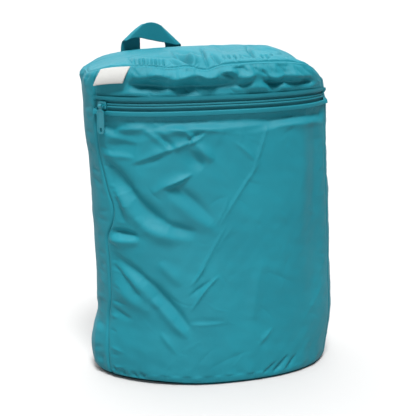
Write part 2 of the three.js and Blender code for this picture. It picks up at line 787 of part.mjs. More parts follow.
// Share of the way round at which the seam's front or back has a given x
function aroundAt(x, level, onFront) {
  let low = onFront ? 0 : 2;
  let high = 1;
  for (let i = 0; i < 30; i += 1) {
    const middle = (low + high) / 2;
    if (loopPoint(middle, level).x < x) low = middle;
    else high = middle;
  }
  return (low + high) / 2;
}

// A point of the strap's middle face: across is 0 on edge a and 1 on edge b
function strapPoint(across, along) {
  const value = (column) => tableValue(strapPath, column, along, "along") * strapWidth;
  const outer = new THREE.Vector3(value("ax"), value("ay"), value("az"));
  const inner = new THREE.Vector3(value("bx"), value("by"), value("bz"));
  const point = outer.lerp(inner, across);
  point.z += value("bow") * 4 * across * (1 - across);
  return point;
}

const strapStep = 0.004;
function handleStrap() {
  const face = (out) => (column, row) => {
    const across = column / strapColumns;
    const along = row / strapRows;
    const before = clamp01(along - strapStep);
    const after = clamp01(along + strapStep);
    const run = strapPoint(across, after).sub(strapPoint(across, before));
    const width = strapPoint(1, along).sub(strapPoint(0, along));
    const normal = width.cross(run).normalize();
    return strapPoint(across, along).addScaledVector(normal, out);
  };
  return sheetGeometry(strapColumns, strapRows, face(strapWall / 2), face(-strapWall / 2));
}

// Label: a strip folded in two, sewn into the top seam at the left, standing off the puff
function foldedLabel() {
  const length = wallLoop(seamHeight).front.total;
  const start = labelStart / length;
  const end = (labelStart + labelWidth) / length;
  const half = labelWall + restGap;
  const inner = restGap;
  const lowest = 1 - (half * labelFoldRound) / labelDrop;
  const downs = [];
  for (let step = 0; step <= labelSteps; step += 1) downs.push((lowest * step) / labelSteps);
  const ups = [...downs].reverse();
  const outline = [
    ...downs.map((down) => [down, half]),
    [1, half / 2],
    [1, -half / 2],
    ...ups.map((down) => [down, -half]),
    ...downs.map((down) => [down, -inner]),
    ...ups.map((down) => [down, inner]),
  ];
  const corners = [];
  const triangles = [];
  const count = outline.length;
  const out = loopOutward((start + end) / 2, seamHeight);
  const side = new THREE.Vector3(-out.y, out.x, 0);
  for (let column = 0; column <= labelColumns; column += 1) {
    const top = skin(mix(start, end, column / labelColumns), seamHeight);
    for (const [down, off] of outline) {
      const stand = labelStandOff * (1 - (1 - down) ** 2) + half + restGap + off;
      const corner = top.clone().addScaledVector(out, stand);
      corner.addScaledVector(side, -labelSlant * down);
      corner.z -= labelDrop * down;
      corners.push(corner);
    }
  }
  for (let column = 0; column < labelColumns; column += 1) {
    for (let index = 0; index < count; index += 1) {
      const next = (index + 1) % count;
      const a = column * count + index;
      const b = column * count + next;
      triangles.push([a, b + count, a + count], [a, b, b + count]);
    }
  }
  const last = labelColumns * count;
  const fold = labelSteps + 1;
  const backOf = (step) => fold + 2 + labelSteps - step;
  const innerBack = (step) => 2 * fold + 2 + step;
  const innerFront = (step) => 3 * fold + 2 + labelSteps - step;
  const cap = (a, b, c) => triangles.push([a, c, b], [last + a, last + b, last + c]);
  for (let step = 0; step < labelSteps; step += 1) {
    cap(step, step + 1, innerFront(step + 1));
    cap(step, innerFront(step + 1), innerFront(step));
    cap(innerBack(step), innerBack(step + 1), backOf(step + 1));
    cap(innerBack(step), backOf(step + 1), backOf(step));
  }
  const endStep = labelSteps;
  const bottom = [fold + 1, backOf(endStep), innerBack(endStep), innerFront(endStep), endStep];
  for (let index = 1; index < bottom.length; index += 1) cap(fold, bottom[index - 1], bottom[index]);
  return toGeometry(corners, triangles);
}

const group = new THREE.Group();

function addPiece(parent, name, geometry, finish) {
  const material = new THREE.MeshStandardMaterial({ ...finish, side: THREE.FrontSide });
  const mesh = new THREE.Mesh(geometry, material);
  mesh.name = name;
  parent.add(mesh);
  return mesh;
}

const clothFinish = { color: 0x2a8a99, roughness: 0.55, metalness: 0 };
const tapeFinish = { color: 0x207f8e, roughness: 0.7, metalness: 0 };
const coilFinish = { color: 0x207f8e, roughness: 0.45, metalness: 0 };
const labelFinish = { color: 0xf1f0ee, roughness: 0.8, metalness: 0 };
const metalFinish = { color: 0x2f8f9c, roughness: 0.4, metalness: 0.4 };

addPiece(group, "front_panel", frontPanel(), clothFinish);
addPiece(group, "front_yoke", frontYoke(), clothFinish);
addPiece(group, "back_panel", backPanel(), clothFinish);
addPiece(group, "top_panel", topPanel(clothWall), clothFinish);
addPiece(group, "base_panel", basePanel(), clothFinish);
addPiece(group, "zip_tape_upper", zipTape(1), tapeFinish);
addPiece(group, "zip_tape_lower", zipTape(-1), tapeFinish);
addPiece(group, "zip_chain", zipChain(), coilFinish);
addPiece(group, "label", foldedLabel(), labelFinish);

// The strap's feet end on the top panel, so its lower ends are cut to the panel's face
const leftFoot = skin(aroundAt(leftLegX, seamHeight, false), seamHeight);
const footRun = skin(aroundAt(rightLegX, seamHeight, false), seamHeight).sub(leftFoot);
const strapPlace = new THREE.Object3D();
strapPlace.rotation.z = Math.atan2(footRun.y, footRun.x);
strapPlace.position.set(leftFoot.x, leftFoot.y, leftFoot.z + strapLift);
strapPlace.translateY(strapSetBack);
strapPlace.updateMatrix();
const toStrap = strapPlace.matrix.clone().invert();
let strapSolid = toSolid(handleStrap());
for (const [back, up] of [[0, restGap], [restGap, 0], [restGap, restGap]]) {
  const seat = topPanel(footCut).translate(0, back, up).applyMatrix4(toStrap);
  strapSolid = strapSolid.subtract(toSolid(seat));
}
const strap = addPiece(group, "handle_strap", fromSolid(strapSolid), clothFinish);
strap.position.copy(strapPlace.position);
strap.rotation.copy(strapPlace.rotation);

const zipEnd = new THREE.Group();
const sliderPoint = skin(sliderPlace, zipHeight);
const sliderOut = skinNormal(sliderPlace, zipHeight);
zipEnd.position.copy(sliderPoint);
zipEnd.rotation.z = Math.atan2(sliderOut.x, -sliderOut.y);
group.add(zipEnd);
addPiece(zipEnd, "zip_slider", zipSlider(), metalFinish);
const pull = addPiece(zipEnd, "zip_pull", zipPull(), metalFinish);
pull.position.y = bailAxis;

export default group;
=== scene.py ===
import math

import bmesh
import bpy
import numpy as np
from mathutils import Matrix, Vector


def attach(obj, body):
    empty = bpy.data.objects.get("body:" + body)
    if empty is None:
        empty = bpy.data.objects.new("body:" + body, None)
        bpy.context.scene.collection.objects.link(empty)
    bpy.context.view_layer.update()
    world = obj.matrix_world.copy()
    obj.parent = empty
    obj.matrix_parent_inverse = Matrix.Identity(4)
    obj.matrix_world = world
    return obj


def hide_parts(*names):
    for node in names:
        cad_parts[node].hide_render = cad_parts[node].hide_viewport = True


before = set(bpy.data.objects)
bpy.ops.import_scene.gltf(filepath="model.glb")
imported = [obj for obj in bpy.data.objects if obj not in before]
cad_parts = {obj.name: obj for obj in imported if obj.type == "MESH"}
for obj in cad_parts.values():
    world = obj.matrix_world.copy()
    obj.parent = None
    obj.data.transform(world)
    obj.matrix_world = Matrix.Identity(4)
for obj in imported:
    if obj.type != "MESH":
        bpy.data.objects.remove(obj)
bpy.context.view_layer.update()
print("frame loaded")

# Lengths are in millimetres while a piece is shaped, and in metres in the scene
mm = 0.001

bag = {
    "width": 308, "depth": 176,
    "seamHeight": 391,      # top seam
    "baseSeam": 4,          # seam round the base
    "crown": 398.5,         # middle of the top panel
    "zipHeight": 344,       # middle of the zip
    "zipSlot": 12,          # cloth edge to cloth edge at the zip
    "riseLeft": 2.8, "riseRight": 4,    # how fast the top panel climbs from its seam
    "dropPowerLeft": 9, "dropPowerRight": 8,
    "rightSeam": 0.46,      # how far forward the right side seam runs
}

# Level sections: height is a share of seamHeight, the next four are shares of the half
# width and depth, then the powers of the oval's two ends and how far those ends droop
sectionColumns = [
    "height", "left", "right", "front", "back",
    "squareLeft", "squareRight", "dropLeft", "dropRight",
]
sections = [
    (0.0, 0.93, 0.925, 0.93, 0.9, 1.85, 2.3, 0, 0),
    (0.03, 0.975, 0.962, 0.965, 0.95, 1.9, 2.4, 0, 0),
    (0.08, 1.0, 0.987, 0.972, 0.96, 1.9, 2.4, 0, 0),
    (0.13, 0.98, 1.003, 0.97, 0.96, 1.95, 2.4, 0, 0),
    (0.19, 0.94, 1.01, 0.965, 0.95, 2.0, 2.4, 0, 0),
    (0.28, 0.936, 0.995, 0.955, 0.93, 2.1, 2.4, 0, 0),
    (0.41, 0.942, 0.978, 0.94, 0.91, 2.15, 2.4, 0, 0),
    (0.54, 0.955, 0.96, 0.915, 0.88, 2.25, 2.4, 0, 0),
    (0.665, 0.963, 0.936, 0.87, 0.83, 2.35, 2.45, 0, 0),
    (0.78, 0.991, 0.922, 0.81, 0.785, 2.45, 2.5, 0, 0),
    (0.85, 0.997, 0.915, 0.765, 0.75, 2.6, 2.6, 0, 0),
    (0.88, 0.999, 0.9, 0.755, 0.74, 2.6, 2.6, 0, 0.002),
    (0.91, 1.002, 0.893, 0.752, 0.73, 2.6, 2.6, 0, 0.012),
    (0.945, 1.005, 0.882, 0.76, 0.72, 2.6, 2.6, 0.006, 0.038),
    (0.975, 0.997, 0.868, 0.768, 0.7, 2.6, 2.6, 0.02, 0.06),
    (1.0, 0.972, 0.84, 0.69, 0.66, 2.6, 2.6, 0.033, 0.08),
]

# Left side seam: height and how far forward it runs
leftSeam = [
    (0.0, 0.42), (0.11, 0.42), (0.195, 0.36), (0.27, 0.42), (0.4, 0.435), (0.465, 0.44),
    (0.52, 0.54), (0.57, 0.57), (0.63, 0.51), (0.74, 0.455), (0.88, 0.505), (1.0, 0.51),
]


def ease(value):
    value = np.clip(value, 0, 1)
    return value * value * (3 - 2 * value)


# Smooth curve through one column of a table of rows, by the rows' first column
def curveThrough(rows, column, at):
    table = np.array(rows, float)
    places, values = table[:, 0], table[:, column]
    last = len(places) - 1
    at = np.clip(at, places[0], places[-1])
    low = np.clip(np.searchsorted(places, at, side="right") - 1, 0, last - 1)
    before, after = np.maximum(np.arange(last + 1) - 1, 0), np.minimum(np.arange(last + 1) + 1, last)
    slopes = (values[after] - values[before]) / (places[after] - places[before])
    step = places[low + 1] - places[low]
    t = (at - places[low]) / step
    start = values[low] * (1 + 2 * t) * (1 - t) ** 2
    end = values[low + 1] * t * t * (3 - 2 * t)
    return start + end + step * (slopes[low] * t * (1 - t) ** 2 - slopes[low + 1] * t * t * (1 - t))


loopCache = {}
loopSteps = 800     # straight parts of each run of a level loop


# The wall's level loop as two runs, front and back: points, shares of length, length
def levelLoop(level):
    key = round(float(level), 3)
    if key in loopCache:
        return loopCache[key]
    height = min(max(level / bag["seamHeight"], 0), 1)
    row = {name: float(curveThrough(sections, i, height)) for i, name in enumerate(sectionColumns)}
    halfWidth, halfDepth = bag["width"] / 2, bag["depth"] / 2
    powerLeft, powerRight = 2 / row["squareLeft"], 2 / row["squareRight"]
    forward = float(curveThrough(leftSeam, 1, height))
    leftAngle = math.pi + math.asin(forward ** (1 / powerLeft))
    rightAngle = 2 * math.pi - math.asin(bag["rightSeam"] ** (1 / powerRight))
    runs = []
    for begin, finish in ((leftAngle, rightAngle), (rightAngle, leftAngle + 2 * math.pi)):
        angle = np.linspace(begin, finish, loopSteps + 1)
        across, along = np.cos(angle), np.sin(angle)
        isLeft = across < 0
        power = np.where(isLeft, powerLeft, powerRight)
        x = np.sign(across) * np.abs(across) ** power
        y = np.sign(along) * np.abs(along) ** power
        droopLeft = row["dropLeft"] * np.abs(x) ** bag["dropPowerLeft"]
        droopRight = row["dropRight"] * np.abs(x) ** bag["dropPowerRight"]
        points = np.stack([
            x * np.where(isLeft, row["left"], row["right"]) * halfWidth,
            y * np.where(along < 0, row["front"], row["back"]) * halfDepth,
            level - np.where(isLeft, droopLeft, droopRight) * bag["seamHeight"],
        ], axis=1)
        lengths = np.concatenate([[0], np.cumsum(np.linalg.norm(np.diff(points, axis=0), axis=1))])
        runs.append((points, lengths / lengths[-1], lengths[-1]))
    loopCache[key] = runs
    return runs


# Points of a level loop: around is 0 to 1 on the front and 1 to 2 on the back
def loopPoints(around, level):
    turn = np.mod(np.asarray(around, float), 2)
    found = np.empty((len(turn), 3))
    for side, (points, shares, _) in enumerate(levelLoop(level)):
        pick = turn <= 1 if side == 0 else turn > 1
        for axis in range(3):
            found[pick, axis] = np.interp(turn[pick] - side, shares, points[:, axis])
    return found


# Level direction away from the wall, from two places close together on its loop
def loopOutward(around, level):
    near = 0.002
    side = loopPoints(np.asarray(around) + near, level) - loopPoints(np.asarray(around) - near, level)
    out = np.stack([side[:, 1], -side[:, 0], np.zeros(len(side))], axis=1)
    return out / np.linalg.norm(out, axis=1)[:, None]


# How a fold's height falls away from its middle line, and its ends narrow
foldShape = {
    "steps": 12,                # straight parts of the middle line
    "reach": 3.2,               # widths within which a fold shows
    "endRise": 0.12, "endPower": 0.8, "endWidth": 0.55,
    "creaseRound": 0.03, "creaseFall": 1.35, "creaseRise": 1.25,
    "underFrom": 0.5, "underGain": 0.9,
    "hangsFrom": -2, "hangingNarrow": 1.2,      # rise in mm past which a fold hangs
}


# How far each place (a, b) stands off the cloth because of one fold, whose middle line
# bends through three points. A sharp fold has a crease, a soft one is round. Under its
# line a hanging fold runs out slowly, by sag times its width.
def foldHeight(start, middle, end, width, rise, sharp, a, b, sag=1):
    height = np.zeros_like(a)
    reach = foldShape["reach"] * width * sag
    xs, ys = (start[0], middle[0], end[0]), (start[1], middle[1], end[1])
    near = (a > min(xs) - reach) & (a < max(xs) + reach) & (b > min(ys) - reach) & (b < max(ys) + reach)
    if not near.any():
        return height
    a, b = a[near], b[near]
    control = [2 * middle[n] - (start[n] + end[n]) / 2 for n in (0, 1)]
    steps = foldShape["steps"]
    t = np.linspace(0, 1, steps + 1)
    line = [(1 - t) ** 2 * start[n] + 2 * t * (1 - t) * control[n] + t * t * end[n] for n in (0, 1)]
    nearest, share, under = np.full(len(a), 1e9), np.zeros(len(a)), np.zeros(len(a))
    for i in range(steps):
        runX, runY = line[0][i + 1] - line[0][i], line[1][i + 1] - line[1][i]
        along = np.clip(((a - line[0][i]) * runX + (b - line[1][i]) * runY) / (runX ** 2 + runY ** 2), 0, 1)
        gap = np.hypot(a - line[0][i] - along * runX, b - line[1][i] - along * runY)
        closer = gap < nearest
        nearest = np.where(closer, gap, nearest)
        share = np.where(closer, (i + along) / steps, share)
        under = np.where(closer, (line[1][i] + along * runY - b) / (gap + 0.5), under)
    endRise, endWidth = foldShape["endRise"], foldShape["endWidth"]
    taper = endRise + (1 - endRise) * np.sin(np.pi * share) ** foldShape["endPower"]
    hanging = 1 + (sag - 1) * ease(under * foldShape["underGain"] + foldShape["underFrom"])
    t = nearest / (width * (endWidth + (1 - endWidth) * taper) * hanging)
    soft = np.exp(-t * t)
    crease = np.exp(-np.sqrt(t * t + foldShape["creaseRound"]) * foldShape["creaseFall"])
    crease = crease * foldShape["creaseRise"]
    height[near] = rise * taper * ((1 - sharp) * soft + sharp * crease)
    return height


# Folds of the front: x as a share of the half width and z of seamHeight at the start,
# middle and end, then width and rise in mm and how sharp the crease is
frontFolds = [
    (-0.84, 0.834, -0.37, 0.834, 0.05, 0.832, 3, -0.6, 0.4),
    (0.0, 0.833, 0.4, 0.83, 0.83, 0.822, 3, -0.5, 0.4),
    (-0.82, 0.8, -0.55, 0.806, -0.28, 0.812, 6, 1.8, 0.3),
    (-0.3, 0.812, 0.05, 0.812, 0.35, 0.815, 5, 1.8, 0.3),
    (0.4, 0.812, 0.6, 0.81, 0.82, 0.804, 6, 0.9, 0.2),
    (-0.281, 0.799, -0.244, 0.787, -0.23, 0.772, 3, 1.3, 0.6),
    (-0.268, 0.77, -0.219, 0.776, -0.142, 0.796, 3, 1.4, 0.7),
    (-0.28, 0.781, -0.22, 0.79, -0.15, 0.806, 3, -1.2, 0.7),
    (-0.662, 0.705, -0.517, 0.727, -0.398, 0.747, 4, -1.4, 0.7),
    (-0.69, 0.712, -0.5, 0.74, -0.33, 0.766, 5, 1.2, 0.6),
    (-0.432, 0.749, -0.331, 0.763, -0.256, 0.774, 4, 1.4, 0.6),
    (-0.22, 0.769, -0.156, 0.744, -0.082, 0.715, 6, 1.8, 0.2),
    (-0.284, 0.755, -0.211, 0.72, -0.155, 0.7, 7, -1.8, 0.2),
    (-0.548, 0.62, -0.413, 0.652, -0.263, 0.677, 6, 1.4, 0.5),
    (0.351, 0.815, 0.276, 0.733, 0.222, 0.673, 2.4, 0.75, 0.8),
    (0.296, 0.715, 0.198, 0.664, 0.133, 0.633, 2.4, 0.45, 0.7),
    (0.218, 0.671, 0.084, 0.599, -0.042, 0.520, 2.4, 0.65, 0.8),
    (0.074, 0.77, 0.174, 0.738, 0.232, 0.711, 3, 0.7, 0.6),
    (0.031, 0.608, -0.017, 0.561, -0.088, 0.513, 2.2, 0.45, 0.8),
    (-0.003, 0.512, -0.132, 0.423, -0.251, 0.335, 2.4, 0.7, 0.85),
    (-0.151, 0.398, -0.205, 0.367, -0.274, 0.332, 2.4, 0.6, 0.85),
    (-0.054, 0.359, -0.16, 0.318, -0.268, 0.251, 2.6, 1.2, 0.9),
    (-0.282, 0.298, -0.198, 0.324, -0.109, 0.349, 3, -1.0, 0.8),
    (-0.86, 0.492, -0.76, 0.493, -0.66, 0.485, 5, -3.2, 0.6),
    (-0.86, 0.46, -0.767, 0.468, -0.66, 0.468, 7, 2.4, 0.2),
    (-0.268, 0.206, -0.149, 0.205, -0.003, 0.206, 2.6, 0.5, 0.8),
    (-0.28, 0.218, -0.15, 0.216, -0.02, 0.216, 4, -0.3, 0.4),
    (0.735, 0.81, 0.775, 0.7, 0.75, 0.5, 9, -1.6, 0.2),
    (0.62, 0.79, 0.64, 0.65, 0.63, 0.45, 10, 0.9, 0.1),
    (0.307, 0.41, 0.251, 0.304, 0.228, 0.207, 9, 0.9, 0.2),
    (0.389, 0.174, 0.326, 0.147, 0.272, 0.121, 3, 0.7, 0.7),
    (0.72, 0.62, 0.77, 0.42, 0.74, 0.22, 12, -1.4, 0.1),
    (-0.877, 0.714, -0.760, 0.657, -0.658, 0.606, 8, -3, 0.35),
    (-0.699, 0.625, -0.575, 0.565, -0.417, 0.525, 9, -3.2, 0.35),
    (-0.453, 0.530, -0.344, 0.512, -0.224, 0.502, 7, -2, 0.4),
    (-0.814, 0.629, -0.735, 0.576, -0.624, 0.527, 9, 2, 0.1),
    (-0.667, 0.546, -0.524, 0.501, -0.270, 0.481, 9, 2.1, 0.1),
    (-0.822, 0.617, -0.783, 0.575, -0.749, 0.526, 4, -1.6, 0.6),
    (-0.444, 0.646, -0.354, 0.660, -0.247, 0.679, 2.4, 1.3, 0.7),
    (-0.466, 0.633, -0.370, 0.645, -0.271, 0.665, 3, -1, 0.5),
    (-0.400, 0.646, -0.254, 0.600, -0.088, 0.535, 9, -2.2, 0.3),
    (-0.430, 0.615, -0.276, 0.565, -0.088, 0.507, 9, 1.9, 0.1),
    (-0.812, 0.802, -0.692, 0.813, -0.577, 0.814, 4, 1.6, 0.3),
    (-0.592, 0.811, -0.499, 0.785, -0.421, 0.752, 4.5, 1.7, 0.3),
    (-0.548, 0.808, -0.456, 0.782, -0.362, 0.751, 5, -1.8, 0.35),
    (-0.431, 0.814, -0.328, 0.810, -0.240, 0.791, 3.5, 1.4, 0.4),
    (-0.862, 0.753, -0.765, 0.764, -0.652, 0.760, 8, -1.8, 0.2),
    (-0.876, 0.730, -0.781, 0.730, -0.669, 0.727, 4, 1, 0.2),
    (-0.836, 0.416, -0.701, 0.379, -0.583, 0.341, 7, -2.2, 0.4),
    (-0.618, 0.353, -0.467, 0.289, -0.283, 0.194, 8, -2.7, 0.35),
    (-0.804, 0.388, -0.639, 0.321, -0.501, 0.262, 8, 1.8, 0.1),
    (-0.559, 0.288, -0.427, 0.227, -0.300, 0.162, 7, 2, 0.1),
    (-0.838, 0.383, -0.758, 0.348, -0.641, 0.289, 3.5, -1.3, 0.6),
    (-0.834, 0.328, -0.719, 0.279, -0.577, 0.246, 8, 1.2, 0.1),
    (-0.853, 0.246, -0.792, 0.228, -0.714, 0.213, 3.5, -1.2, 0.6),
    (-0.503, 0.408, -0.423, 0.371, -0.342, 0.332, 7, 1.1, 0.1),
    (-0.497, 0.177, -0.438, 0.142, -0.385, 0.112, 4, 0.8, 0.2),
    (-0.855, 0.046, -0.841, 0.036, -0.826, 0.026, 1.8, -1.2, 0.6),
    (-0.790, 0.038, -0.775, 0.029, -0.752, 0.018, 1.8, -1.1, 0.6),
    (-0.717, 0.038, -0.695, 0.028, -0.671, 0.020, 2, -1.3, 0.6),
    (-0.657, 0.038, -0.635, 0.029, -0.612, 0.017, 2, -1.1, 0.6),
    (0.4, 0.03, 0.46, 0.045, 0.52, 0.07, 2.2, -1.6, 0.6),
    (0.5, 0.028, 0.55, 0.045, 0.6, 0.066, 2, -1.2, 0.6),
    (0.3, 0.028, 0.36, 0.04, 0.42, 0.056, 2, -1, 0.6),
]
backFolds = [
    (-0.6, 0.9, -0.5, 0.55, -0.55, 0.2, 16, -3, 0.2),
    (0.1, 0.85, 0.02, 0.5, 0.12, 0.25, 16, -2.5, 0.2),
    (0.62, 0.8, 0.55, 0.5, 0.6, 0.15, 16, -3, 0.2),
    (-0.8, 0.8, -0.62, 0.62, -0.3, 0.5, 9, -2.4, 0.5),
    (-0.75, 0.45, -0.55, 0.33, -0.35, 0.16, 9, 2.4, 0.4),
    (0.8, 0.75, 0.62, 0.6, 0.28, 0.52, 8, -2.2, 0.5),
    (0.82, 0.45, 0.6, 0.34, 0.3, 0.3, 8, -2, 0.5),
    (-0.15, 0.93, -0.1, 0.8, 0.05, 0.66, 6, 1.4, 0.6),
    (0.35, 0.92, 0.3, 0.78, 0.12, 0.62, 6, 1.4, 0.6),
    (-0.3, 0.4, -0.1, 0.33, 0.15, 0.3, 6, 1.2, 0.6),
]
# Puffs, tucks and gathers of the yoke, in the same columns
yokeFolds = [
    (-0.675, 0.9717, -0.612, 0.9675, -0.547, 0.9659, 5, 1.2, 0.2),
    (-0.554, 0.9660, -0.481, 0.9754, -0.412, 0.9677, 5, 3.2, 0.3),
    (-0.398, 0.9636, -0.292, 0.9671, -0.194, 0.9815, 6, 3.6, 0.3),
    (-0.208, 0.9816, -0.122, 0.9743, -0.042, 0.9637, 6, 3.2, 0.3),
    (-0.019, 0.9736, 0.054, 0.9783, 0.110, 0.9622, 3.5, 2.6, 0.5),
    (0.102, 0.9609, 0.173, 0.9584, 0.248, 0.9664, 5, 2.8, 0.3),
    (0.298, 0.9633, 0.397, 0.9530, 0.480, 0.9595, 4, 2.8, 0.3),
    (0.480, 0.9565, 0.572, 0.9555, 0.721, 0.9469, 5, 2.6, 0.2),
    (-0.698, 0.9453, -0.540, 0.9366, -0.361, 0.9336, 7, -5.2, 0.3),
    (-0.411, 0.9336, -0.261, 0.9327, -0.121, 0.9359, 7, -5.2, 0.3),
    (-0.151, 0.9347, -0.009, 0.9347, 0.117, 0.9372, 6, -4, 0.3),
    (0.102, 0.9404, 0.154, 0.9342, 0.218, 0.9493, 4, -3, 0.4),
    (0.315, 0.9494, 0.390, 0.9324, 0.464, 0.9420, 4.5, -4.4, 0.4),
    (0.440, 0.9396, 0.568, 0.9341, 0.740, 0.9279, 4.5, -2.4, 0.3),
    (-0.811, 0.9110, -0.468, 0.9244, -0.121, 0.9255, 5, 1.8, 0.1),
    (-0.173, 0.9260, 0.206, 0.9280, 0.770, 0.9172, 5, 1.8, 0.1),
    (-0.012, 0.9720, 0.045, 0.9672, 0.094, 0.9537, 2.2, -2, 0.6),
    (0.298, 0.9765, 0.323, 0.9640, 0.364, 0.9481, 2.2, -1.8, 0.6),
    (0.348, 0.9485, 0.389, 0.9384, 0.440, 0.9367, 3, -1.6, 0.4),
    (0.634, 0.9425, 0.694, 0.9329, 0.730, 0.9255, 2.5, -1.6, 0.5),
    (-0.562, 0.9631, -0.510, 0.9581, -0.459, 0.9652, 2.4, -1.8, 0.5),
    (0.134, 0.9894, 0.166, 0.9787, 0.217, 0.9672, 2.2, -1.1, 0.6),
    (0.208, 0.9889, 0.249, 0.9779, 0.298, 0.9677, 2.2, -1, 0.6),
    (0.411, 0.9896, 0.463, 0.9746, 0.509, 0.9594, 2.2, -0.9, 0.6),
    (0.552, 0.9858, 0.591, 0.9693, 0.655, 0.9469, 2.2, -1, 0.6),
    (0.631, 0.9814, 0.679, 0.9657, 0.730, 0.9464, 2, -0.9, 0.6),
    (-0.664, 0.9903, -0.639, 0.9775, -0.612, 0.9690, 2, -0.9, 0.6),
    (0.307, 0.9947, 0.334, 0.9835, 0.379, 0.9715, 2, -0.8, 0.6),
    (-0.197, 0.9934, -0.172, 0.9827, -0.137, 0.9773, 3, 0.9, 0.4),
    (-0.563, 0.9220, -0.541, 0.9131, -0.520, 0.9042, 1.3, -0.8, 0.7),
    (-0.284, 0.9288, -0.262, 0.9168, -0.240, 0.9048, 1.3, -0.9, 0.7),
    (-0.210, 0.9278, -0.192, 0.9189, -0.173, 0.9098, 1.2, -0.6, 0.7),
    (0.046, 0.9301, 0.070, 0.9192, 0.093, 0.9086, 1.2, -0.6, 0.7),
    (0.349, 0.9304, 0.382, 0.9177, 0.415, 0.9048, 1.2, -0.8, 0.7),
]
# Dents, creases and gathers of the top panel: x and y as shares of the half width and depth
topFolds = [
    (-0.304, -0.084, -0.261, -0.472, -0.219, -0.633, 5, -3.2, 0.4),
    (-0.215, -0.191, -0.203, -0.493, -0.181, -0.625, 5, 1.4, 0.2),
    (-0.368, -0.478, -0.335, -0.594, -0.304, -0.655, 3, -1.4, 0.5),
    (-0.064, 0.144, -0.101, -0.401, -0.102, -0.663, 2.4, -1.6, 0.7),
    (-0.040, -0.341, -0.029, -0.560, -0.005, -0.674, 3.4, -1.8, 0.5),
    (0.316, 0.245, 0.263, -0.345, 0.274, -0.590, 2.4, -1.5, 0.6),
    (0.188, -0.487, 0.219, -0.542, 0.255, -0.560, 2.6, -1, 0.5),
    (0.397, -0.499, 0.476, -0.298, 0.582, 0.011, 3, -1.3, 0.5),
    (0.457, 0.315, 0.489, 0.090, 0.567, 0.067, 4, 0.8, 0.2),
    (0.603, -0.113, 0.615, -0.283, 0.649, -0.370, 2.4, -1, 0.5),
    (-0.641, -0.050, -0.651, -0.370, -0.643, -0.535, 1.8, -1, 0.6),
    (-0.620, -0.263, -0.633, -0.463, -0.640, -0.586, 1.3, -0.9, 0.6),
    (-0.587, -0.327, -0.598, -0.490, -0.604, -0.602, 1.3, -1.2, 0.6),
    (-0.560, -0.358, -0.569, -0.507, -0.575, -0.613, 1.3, -1.5, 0.6),
    (-0.532, -0.385, -0.541, -0.522, -0.547, -0.622, 1.3, -0.9, 0.6),
    (-0.504, -0.406, -0.512, -0.536, -0.518, -0.630, 1.3, -1.2, 0.6),
    (-0.476, -0.424, -0.484, -0.548, -0.489, -0.638, 1.3, -1.5, 0.6),
    (-0.447, -0.440, -0.455, -0.558, -0.460, -0.652, 1.3, -0.9, 0.6),
    (-0.418, -0.455, -0.426, -0.568, -0.431, -0.659, 1.3, -1.2, 0.6),
    (0.040, -0.438, 0.035, -0.538, 0.038, -0.603, 1.4, -0.7, 0.6),
    (0.079, -0.438, 0.073, -0.542, 0.076, -0.607, 1.4, -0.95, 0.6),
    (0.126, -0.431, 0.119, -0.546, 0.121, -0.612, 1.4, -1.2, 0.6),
    (0.171, -0.447, 0.164, -0.552, 0.167, -0.615, 1.4, -0.7, 0.6),
    (0.332, -0.464, 0.326, -0.556, 0.329, -0.613, 1.4, -0.95, 0.6),
    (0.373, -0.451, 0.366, -0.548, 0.369, -0.606, 1.4, -1.2, 0.6),
    (0.596, -0.005, 0.552, -0.321, 0.538, -0.481, 1.4, -0.7, 0.6),
    (0.610, -0.118, 0.624, -0.128, 0.633, -0.197, 1.4, -0.95, 0.6),
    (-0.28, 0.02, -0.2, -0.18, -0.1, -0.4, 8, -2, 0.3),
    (-0.55, -0.3, -0.35, -0.38, -0.2, -0.3, 7, -1.2, 0.3),
    (0.08, 0.3, 0.1, 0.0, 0.13, -0.4, 8, -1.4, 0.5),
    (0.35, 0.3, 0.42, -0.05, 0.52, -0.4, 9, -1.6, 0.4),
]


# Height of a table of folds, whose places are shares of scaleA and scaleB. Under a deep
# fold's line the cloth hangs: it runs out slowly, by the factor hang.
def foldsHeight(folds, a, b, scaleA, scaleB, gain=1, hang=2.1):
    total = np.zeros_like(a)
    for x1, y1, x2, y2, x3, y3, width, rise, sharp in folds:
        places = [(x1 * scaleA, y1 * scaleB), (x2 * scaleA, y2 * scaleB), (x3 * scaleA, y3 * scaleB)]
        sag = hang if rise * gain < foldShape["hangsFrom"] else 1
        narrow = foldShape["hangingNarrow"] if sag > 1 else 1
        total += foldHeight(*places, width / narrow, rise * gain, sharp, a, b, sag)
    return total


# Slight uneven swell of slack cloth: a seeded sum of waves across the cloth
def swell(seed, a, b, shortest, longest, height):
    waves, damping = 26, 5
    draw = np.random.RandomState(seed)
    total = np.zeros_like(a)
    for _ in range(waves):
        angle = draw.uniform(0, math.pi)
        length = draw.uniform(shortest, longest)
        phase = draw.uniform(0, 2 * math.pi)
        total += np.sin(2 * math.pi * (a * math.cos(angle) + b * math.sin(angle)) / length + phase)
    return total * height / damping


# How small creases and gathers vary: lean and bend are shares of the length
variety = {
    "bend": 0.25, "creaseSharp": (0.3, 0.9),
    "lean": 0.35, "middleLean": 0.3, "raised": 0.45, "gatherSharp": (0.4, 0.9),
}


